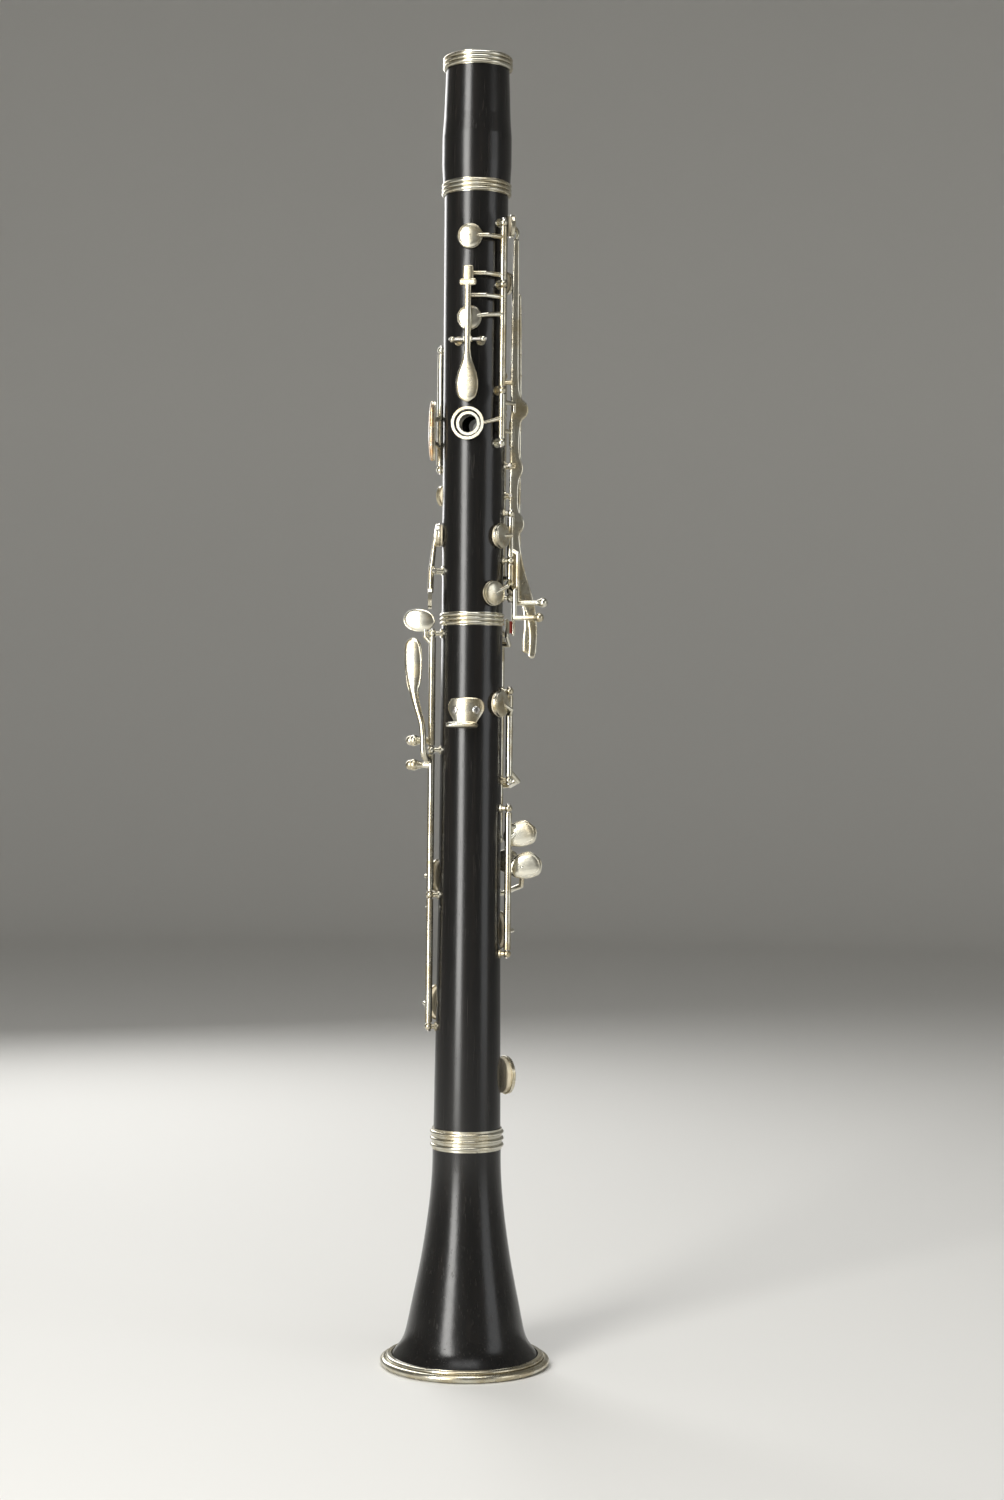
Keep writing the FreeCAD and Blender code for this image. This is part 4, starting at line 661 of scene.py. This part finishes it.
def make_left_lever():
    """The lower of the left hand's levers: a long leaf that narrows to a curved stem and
    joins its hinge tube."""
    path = [(-25.6, -7.5, 330.6), (-25.8, -7.6, 326.5), (-25.7, -7.7, 320.0),
            (-25.5, -7.8, 313.0), (-25.1, -8.0, 306.0), (-23.4, -9.2, 299.0),
            (-21.0, -10.4, 291.7), (-20.2, -10.7, 285.0), (-19.8, -10.8, 278.2),
            (-18.4, -7.8, 274.6)]
    widths = [5.0, 7.6, 8.2, 7.0, 4.2, 3.0, 2.8, 2.8, 2.9, 3.0]
    depths = [2.0, 2.2, 2.4, 2.5, 2.8, 2.8, 2.8, 2.8, 2.9, 3.0]
    lever = blade_piece("left_lever_lower", path, widths, depths, (0.0, -1.0, 0.0),
                        "key_plate", squareness=2.3, rows=150, turns=36, ends=(3.0, 1.2))
    ride_with("f_sharp_key", "key_silver", lever)


def wrapped_piece(name, middle, stand, half_across, heights, halves, depth, finish):
    """A plate that follows the round of the wood. Its half-widths at its heights give its
    outline, and its face is the wood's own round carried outward, with softened edges."""
    rows = len(heights) * 10
    height = smooth_path(heights, rows)[:, 0]
    half = smooth_path(halves, rows)[:, 0] * half_across
    end = np.minimum(np.arange(rows), np.arange(rows)[::-1]) / 6.0
    half = half * np.sqrt(1 - (1 - np.clip(end, 0.02, 1.0)) ** 2) ** 0.5
    turns = 64
    angle = np.linspace(0.0, 2 * np.pi, turns, endpoint=False)
    x = np.sign(np.cos(angle)) * np.abs(np.cos(angle)) ** 0.55
    y = np.sign(np.sin(angle)) * np.abs(np.sin(angle)) ** 0.45
    bearing = x[None, :] * half[:, None] / stand
    soft = 1 - 0.25 * (1 - np.clip(end, 0.0, 1.0))
    out = stand + (0.5 + 0.5 * y[None, :]) * depth * soft[:, None]
    grid = np.stack([out * np.sin(bearing), -out * np.cos(bearing),
                     np.broadcast_to((middle + height)[:, None], out.shape)], axis=-1)
    return grid_piece(name, grid * MM, finish, 50.0)


WOOD_RADIUS = 14.1
SCREW_APART = 4.8
SCREW_HEAD = [(0.01, 0.0), (1.75, 0.0), (1.75, 0.25), (1.6, 0.42), (0.9, 0.6), (0.01, 0.66)]


def make_thumb_rest():
    """The thumb rest: a plate round the wood that narrows to its foot, and a hook that curves
    out under the thumb."""
    low, high = (np.array(corner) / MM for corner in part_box("thumb_rest"))
    wood = WOOD_RADIUS
    middle = high[2] - 6.0
    plate = wrapped_piece("thumb_rest_plate", middle, wood, 8.1,
                          [5.9, 4.6, 2.4, 0.0, -2.6, -5.0, -7.2],
                          [0.62, 0.86, 1.0, 0.98, 0.8, 0.62, 0.55], 1.7, "key_plate")
    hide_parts("thumb_rest")
    reach = -low[1]
    foot = middle - 6.3
    path = [(0.0, -(wood + 0.9), foot + 1.4), (0.0, -(wood + 2.0), foot - 0.2),
            (0.0, -(wood + 5.5), foot - 0.5), (0.0, -(reach - 4.0), foot - 0.5),
            (0.0, -(reach - 1.4), foot - 0.1), (0.0, -(reach - 0.5), foot + 0.5)]
    hook = blade_piece("thumb_rest_hook", path, [9.5, 12.0, 13.0, 13.2, 12.8, 12.2],
                       [2.0, 2.4, 2.5, 2.5, 2.5, 2.2], (0.0, -0.5, 1.0), "key_plate",
                       squareness=3.4, rows=70, turns=48, ends=(0.8, 1.2))
    ride_with("thumb_rest", "key_silver", plate, hook)
    for side, offset in (("left", -SCREW_APART), ("right", SCREW_APART)):
        make_rest_screw(f"thumb_rest_screw_{side}", offset, middle + 0.2)


def make_rest_screw(name, offset, height):
    """A slotted screw head, a distance round the wood from the middle of the rest."""
    bearing = offset / (WOOD_RADIUS + 1.0)
    aim = np.array([math.sin(bearing), -math.cos(bearing), 0.0])
    start = aim * (WOOD_RADIUS + 1.4) + [0.0, 0.0, height]
    head = turned_piece(name, SCREW_HEAD, start * MM, aim, "turned_steel", 48)
    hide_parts("thumb_rest_screws")
    # The slot is a small bar coloured in painted shade, standing in for the slot's shadowed
    # inside.
    path = [start + aim * 0.55 + [0.0, 0.0, rise] for rise in (-1.3, 1.3)]
    slot = blade_piece(name + "_slot", path, [0.36, 0.36], [0.3, 0.3], aim, "painted_slot_shade",
                       rows=8, ends=(0.1, 0.1))
    ride_with("thumb_rest_screws", "steel", head, slot)


LEAVES = {
    # piece: (node, centre, long way, facing, half length, half width, depth, crown, finish)
    "left_leaf_upper": ("left_lever_upper", (-23.4, -6.4, 338.6), (-1.0, 0.0, 0.12),
                        (0.0, -1.0, 0.0), 7.25, 5.15, 2.1, 0.7, "key_plate"),
    "throat_leaf": ("throat_g_sharp_key", tuple(spot(-81, 19.1, upper(83.0)) / MM),
                    (0.0, 0.0, 1.0), tuple(outward(-81)), 13.7, 3.2, 2.0, 0.7, "warm_plate"),
    "f_leaf": ("f_touch_key", (14.6, 17.2, 228.7), (1.0, 0.0, 0.12),
               (0.0, 1.0, 0.0), 5.7, 5.4, 2.1, 0.5, "key_plate"),
}


def make_leaf(name, settings):
    """The face of a touch: an oval with soft edges and a low crown."""
    node, centre, longways, facing, half_length, half_width, depth, crown, finish = settings
    leaf = pillow_piece(name, centre, longways, facing, half_length, half_width, depth,
                        finish, crown)
    ride_with(node, "key_silver", leaf)


# piece: (node, the touch's middle, how much broader it is than the first)
WINGS = {"a_flat_wing": ("a_flat_key", (23.6, 2.0, 241.9), 0.0),
         "e_wing": ("e_key", (25.4, 6.4, 227.3), 0.3)}


def make_wing(name, settings):
    """A little finger's touch: a leaf like a wing, narrow where its arms meet it and broad
    toward its rounded tip. Each step is how far right, how far up, and how wide."""
    node, centre, extra = settings
    steps = [(-8.2, -3.4, 4.8), (-5.4, -2.0, 8.6), (-2.4, -0.7, 11.2), (0.6, 0.2, 11.8),
             (3.2, 1.0, 11.2), (5.2, 1.9, 9.0), (6.4, 2.6, 6.0)]
    path = [(centre[0] + right, centre[1], centre[2] + rise) for right, rise, _ in steps]
    widths = [width + extra for _, _, width in steps]
    wing = blade_piece(name, path, widths, [2.1, 2.2, 2.3, 2.3, 2.2, 2.1, 2.0],
                       (0.0, 1.0, 0.0), "key_plate", squareness=2.2, rows=80, turns=40,
                       ends=(2.0, 3.4))
    ride_with(node, "key_silver", wing)


def finish_nodes():
    """Give every CAD node the finish of its slot."""
    slots = {item["node"]: item["material_slot"] for item in frame["record"]["subparts"]}
    for node, thing in frame["nodes"].items():
        finish = SLOT_FINISH[slots[node]]
        if node.endswith("_ring") and BODY_OF[node] in ("root", "barrel"):
            finish = "ring_plate"
        thing.data.materials.clear()
        thing.data.materials.append(finish_for(finish))


class CLARINET_OT_finish_nodes(bpy.types.Operator):
    """Give the turned and fitted pieces their finishes"""

    bl_idname = "clarinet.finish_nodes"
    bl_label = "Finish Nodes"

    def execute(self, context):
        finish_nodes()
        return {"FINISHED"}


class CLARINET_OT_make_pads(bpy.types.Operator):
    """Make the skin pads"""

    bl_idname = "clarinet.make_pads"
    bl_label = "Make Pads"

    def execute(self, context):
        for node in pads():
            make_pad(node)
        return {"FINISHED"}


class CLARINET_OT_make_cups(bpy.types.Operator):
    """Make the shells of the pad cups"""

    bl_idname = "clarinet.make_cups"
    bl_label = "Make Cups"

    def execute(self, context):
        for node in pads():
            make_cup(node)
        return {"FINISHED"}


class CLARINET_OT_make_levers(bpy.types.Operator):
    """Make the long levers and the thumb rest"""

    bl_idname = "clarinet.make_levers"
    bl_label = "Make Levers"

    def execute(self, context):
        make_register_lever()
        make_trill_lever("high_trill_key", HIGH_LEVER, 4.4, upper(67.4))
        make_trill_lever("low_trill_key", LOW_LEVER, 8.9, upper(54.0))
        make_left_lever()
        make_thumb_rest()
        return {"FINISHED"}


class CLARINET_OT_make_leaves(bpy.types.Operator):
    """Make the faces of the little fingers' touches"""

    bl_idname = "clarinet.make_leaves"
    bl_label = "Make Leaves"

    def execute(self, context):
        for name, settings in LEAVES.items():
            make_leaf(name, settings)
        for name, settings in WINGS.items():
            make_wing(name, settings)
        return {"FINISHED"}


# ------------------------------------------------------------------ studio

def lamp(name, place, target, width, height, power, tint=(1.0, 1.0, 1.0)):
    """A soft rectangular lamp at a place, aimed at a target, in metres and watts."""
    light = bpy.data.lights.new(name, "AREA")
    light.shape = "RECTANGLE"
    light.size = width
    light.size_y = height
    light.energy = power
    light.color = tint
    thing = bpy.data.objects.new(name, light)
    aim = Vector(target) - Vector(place)
    thing.matrix_world = (Matrix.Translation(place)
                          @ aim.to_track_quat("-Z", "Y").to_matrix().to_4x4())
    bpy.context.scene.collection.objects.link(thing)


def set_camera(studio):
    """A level camera beside the thumb side, with a slight lean."""
    right = Vector((math.cos(studio.azimuth), math.sin(studio.azimuth), 0.0))
    back = Vector((math.sin(studio.azimuth), -math.cos(studio.azimuth), 0.0))
    place = back * studio.distance + right * studio.aside + Vector((0.0, 0.0, studio.height))
    lean = math.sin(studio.roll)
    upward = Vector((0.0, 0.0, 1.0)) * math.cos(studio.roll) - right * lean
    across = upward.cross(back).normalized()
    rotation = Matrix((across, upward, back)).transposed().to_4x4()
    data = bpy.data.cameras.new("camera")
    data.lens = studio.lens
    data.sensor_width = 36.0
    data.clip_start = 0.02
    camera = bpy.data.objects.new("camera", data)
    camera.matrix_world = Matrix.Translation(place) @ rotation
    bpy.context.scene.collection.objects.link(camera)
    bpy.context.scene.camera = camera
    return back, right


def make_floor_sheet():
    """The floor: a round level sheet that curves up all round to a plain wall. A row of its
    points at radius r and height h is a circle of that radius at that height."""
    flat, bend, tall, gap = 2.5, 0.9, 2.4, 0.0002
    inner_rows, bend_rows, wall_rows, columns = 30, 28, 4, 128
    turn = np.linspace(0.0, np.pi / 2, bend_rows)
    radius = np.concatenate([np.linspace(0.01, flat, inner_rows),
                             flat + bend * np.sin(turn)[1:], [flat + bend] * wall_rows])
    height = np.concatenate([np.zeros(inner_rows), bend * (1 - np.cos(turn))[1:],
                             bend + np.linspace(0.3, tall, wall_rows)]) - gap
    angle = np.linspace(0.0, 2 * np.pi, columns, endpoint=False)
    rows = len(height)
    points = np.stack([radius[:, None] * np.cos(angle), radius[:, None] * np.sin(angle),
                       np.broadcast_to(height[:, None], (rows, columns))], axis=-1)
    row, column = np.meshgrid(np.arange(rows - 1), np.arange(columns), indexing="ij")
    first = row * columns + column
    after = row * columns + (column + 1) % columns
    quads = np.stack([first, first + columns, after + columns, after], axis=-1)
    mesh = bpy.data.meshes.new("floor_sheet")
    mesh.from_pydata(points.reshape(-1, 3).tolist(), [],
                     quads.reshape(-1, 4).tolist() + [list(range(columns))])
    mesh.polygons.foreach_set("use_smooth", np.ones(len(mesh.polygons), dtype=bool))
    mesh.materials.append(finish_for("studio_floor"))
    sheet = bpy.data.objects.new("floor_sheet", mesh)
    bpy.context.scene.collection.objects.link(sheet)


def set_lights(studio, back, right):
    """One tall soft lamp ahead on the left, a broad fill on the right, a lamp above, a lamp
    behind and a pale room."""
    middle = Vector((0.0, 0.0, 0.30))
    power = studio.key_power
    lamp("key_lamp", middle + back * 1.05 - right * 0.72 + Vector((0, 0, 0.2)), middle,
         0.42, 1.3, power, (1.0, 0.99, 0.96))
    lamp("fill_lamp", middle + back * 0.7 + right * 1.2 + Vector((0, 0, 0.1)), middle,
         0.6, 1.1, 0.16 * power, (0.96, 0.98, 1.0))
    lamp("top_lamp", middle + Vector((0.0, 0.0, 1.3)) + back * 0.3, middle, 0.9, 0.9,
         0.5 * power)
    lamp("back_lamp", middle - back * 0.9 - right * 0.4 + Vector((0, 0, 0.5)), middle,
         0.6, 1.0, 0.35 * power)
    world = bpy.data.worlds.new("studio")
    world.use_nodes = True
    sky = world.node_tree.nodes["Background"]
    sky.inputs["Color"].default_value = (0.80, 0.80, 0.78, 1.0)
    sky.inputs["Strength"].default_value = 0.13
    bpy.context.scene.world = world
    bpy.context.scene.view_settings.view_transform = "Standard"


class CLARINET_OT_set_studio(bpy.types.Operator):
    """Set the camera, the pale floor and the soft lamps"""

    bl_idname = "clarinet.set_studio"
    bl_label = "Set Studio"

    def execute(self, context):
        studio = context.scene.clarinet_studio
        back, right = set_camera(studio)
        make_floor_sheet()
        set_lights(studio, back, right)
        return {"FINISHED"}


OPERATORS = (
    CLARINET_OT_finish_nodes,
    CLARINET_OT_make_pads,
    CLARINET_OT_make_cups,
    CLARINET_OT_make_levers,
    CLARINET_OT_make_leaves,
    CLARINET_OT_set_studio,
)


class CLARINET_PT_finish(bpy.types.Panel):
    """The steps that finish the clarinet"""

    bl_label = "Clarinet"
    bl_idname = "CLARINET_PT_finish"
    bl_space_type = "VIEW_3D"
    bl_region_type = "UI"
    bl_category = "Clarinet"

    def draw(self, context):
        layout = self.layout
        scene = context.scene
        for settings in (scene.clarinet_finish, scene.clarinet_shapes, scene.clarinet_studio):
            box = layout.box()
            for name in settings.__annotations__:
                box.prop(settings, name)
        for operator in OPERATORS:
            layout.operator(operator.bl_idname)


SETTINGS = {
    "clarinet_finish": ClarinetFinish,
    "clarinet_shapes": ClarinetShapes,
    "clarinet_studio": ClarinetStudio,
}
CLASSES = (*SETTINGS.values(), *OPERATORS, CLARINET_PT_finish)


def register():
    for item in CLASSES:
        bpy.utils.register_class(item)
    for name, group in SETTINGS.items():
        setattr(bpy.types.Scene, name, PointerProperty(type=group))


def unregister():
    for name in SETTINGS:
        delattr(bpy.types.Scene, name)
    for item in reversed(CLASSES):
        bpy.utils.unregister_class(item)


def main():
    register()
    for operator in OPERATORS:
        module, name = operator.bl_idname.split(".")
        getattr(getattr(bpy.ops, module), name)()


if __name__ == "__main__":
    main()
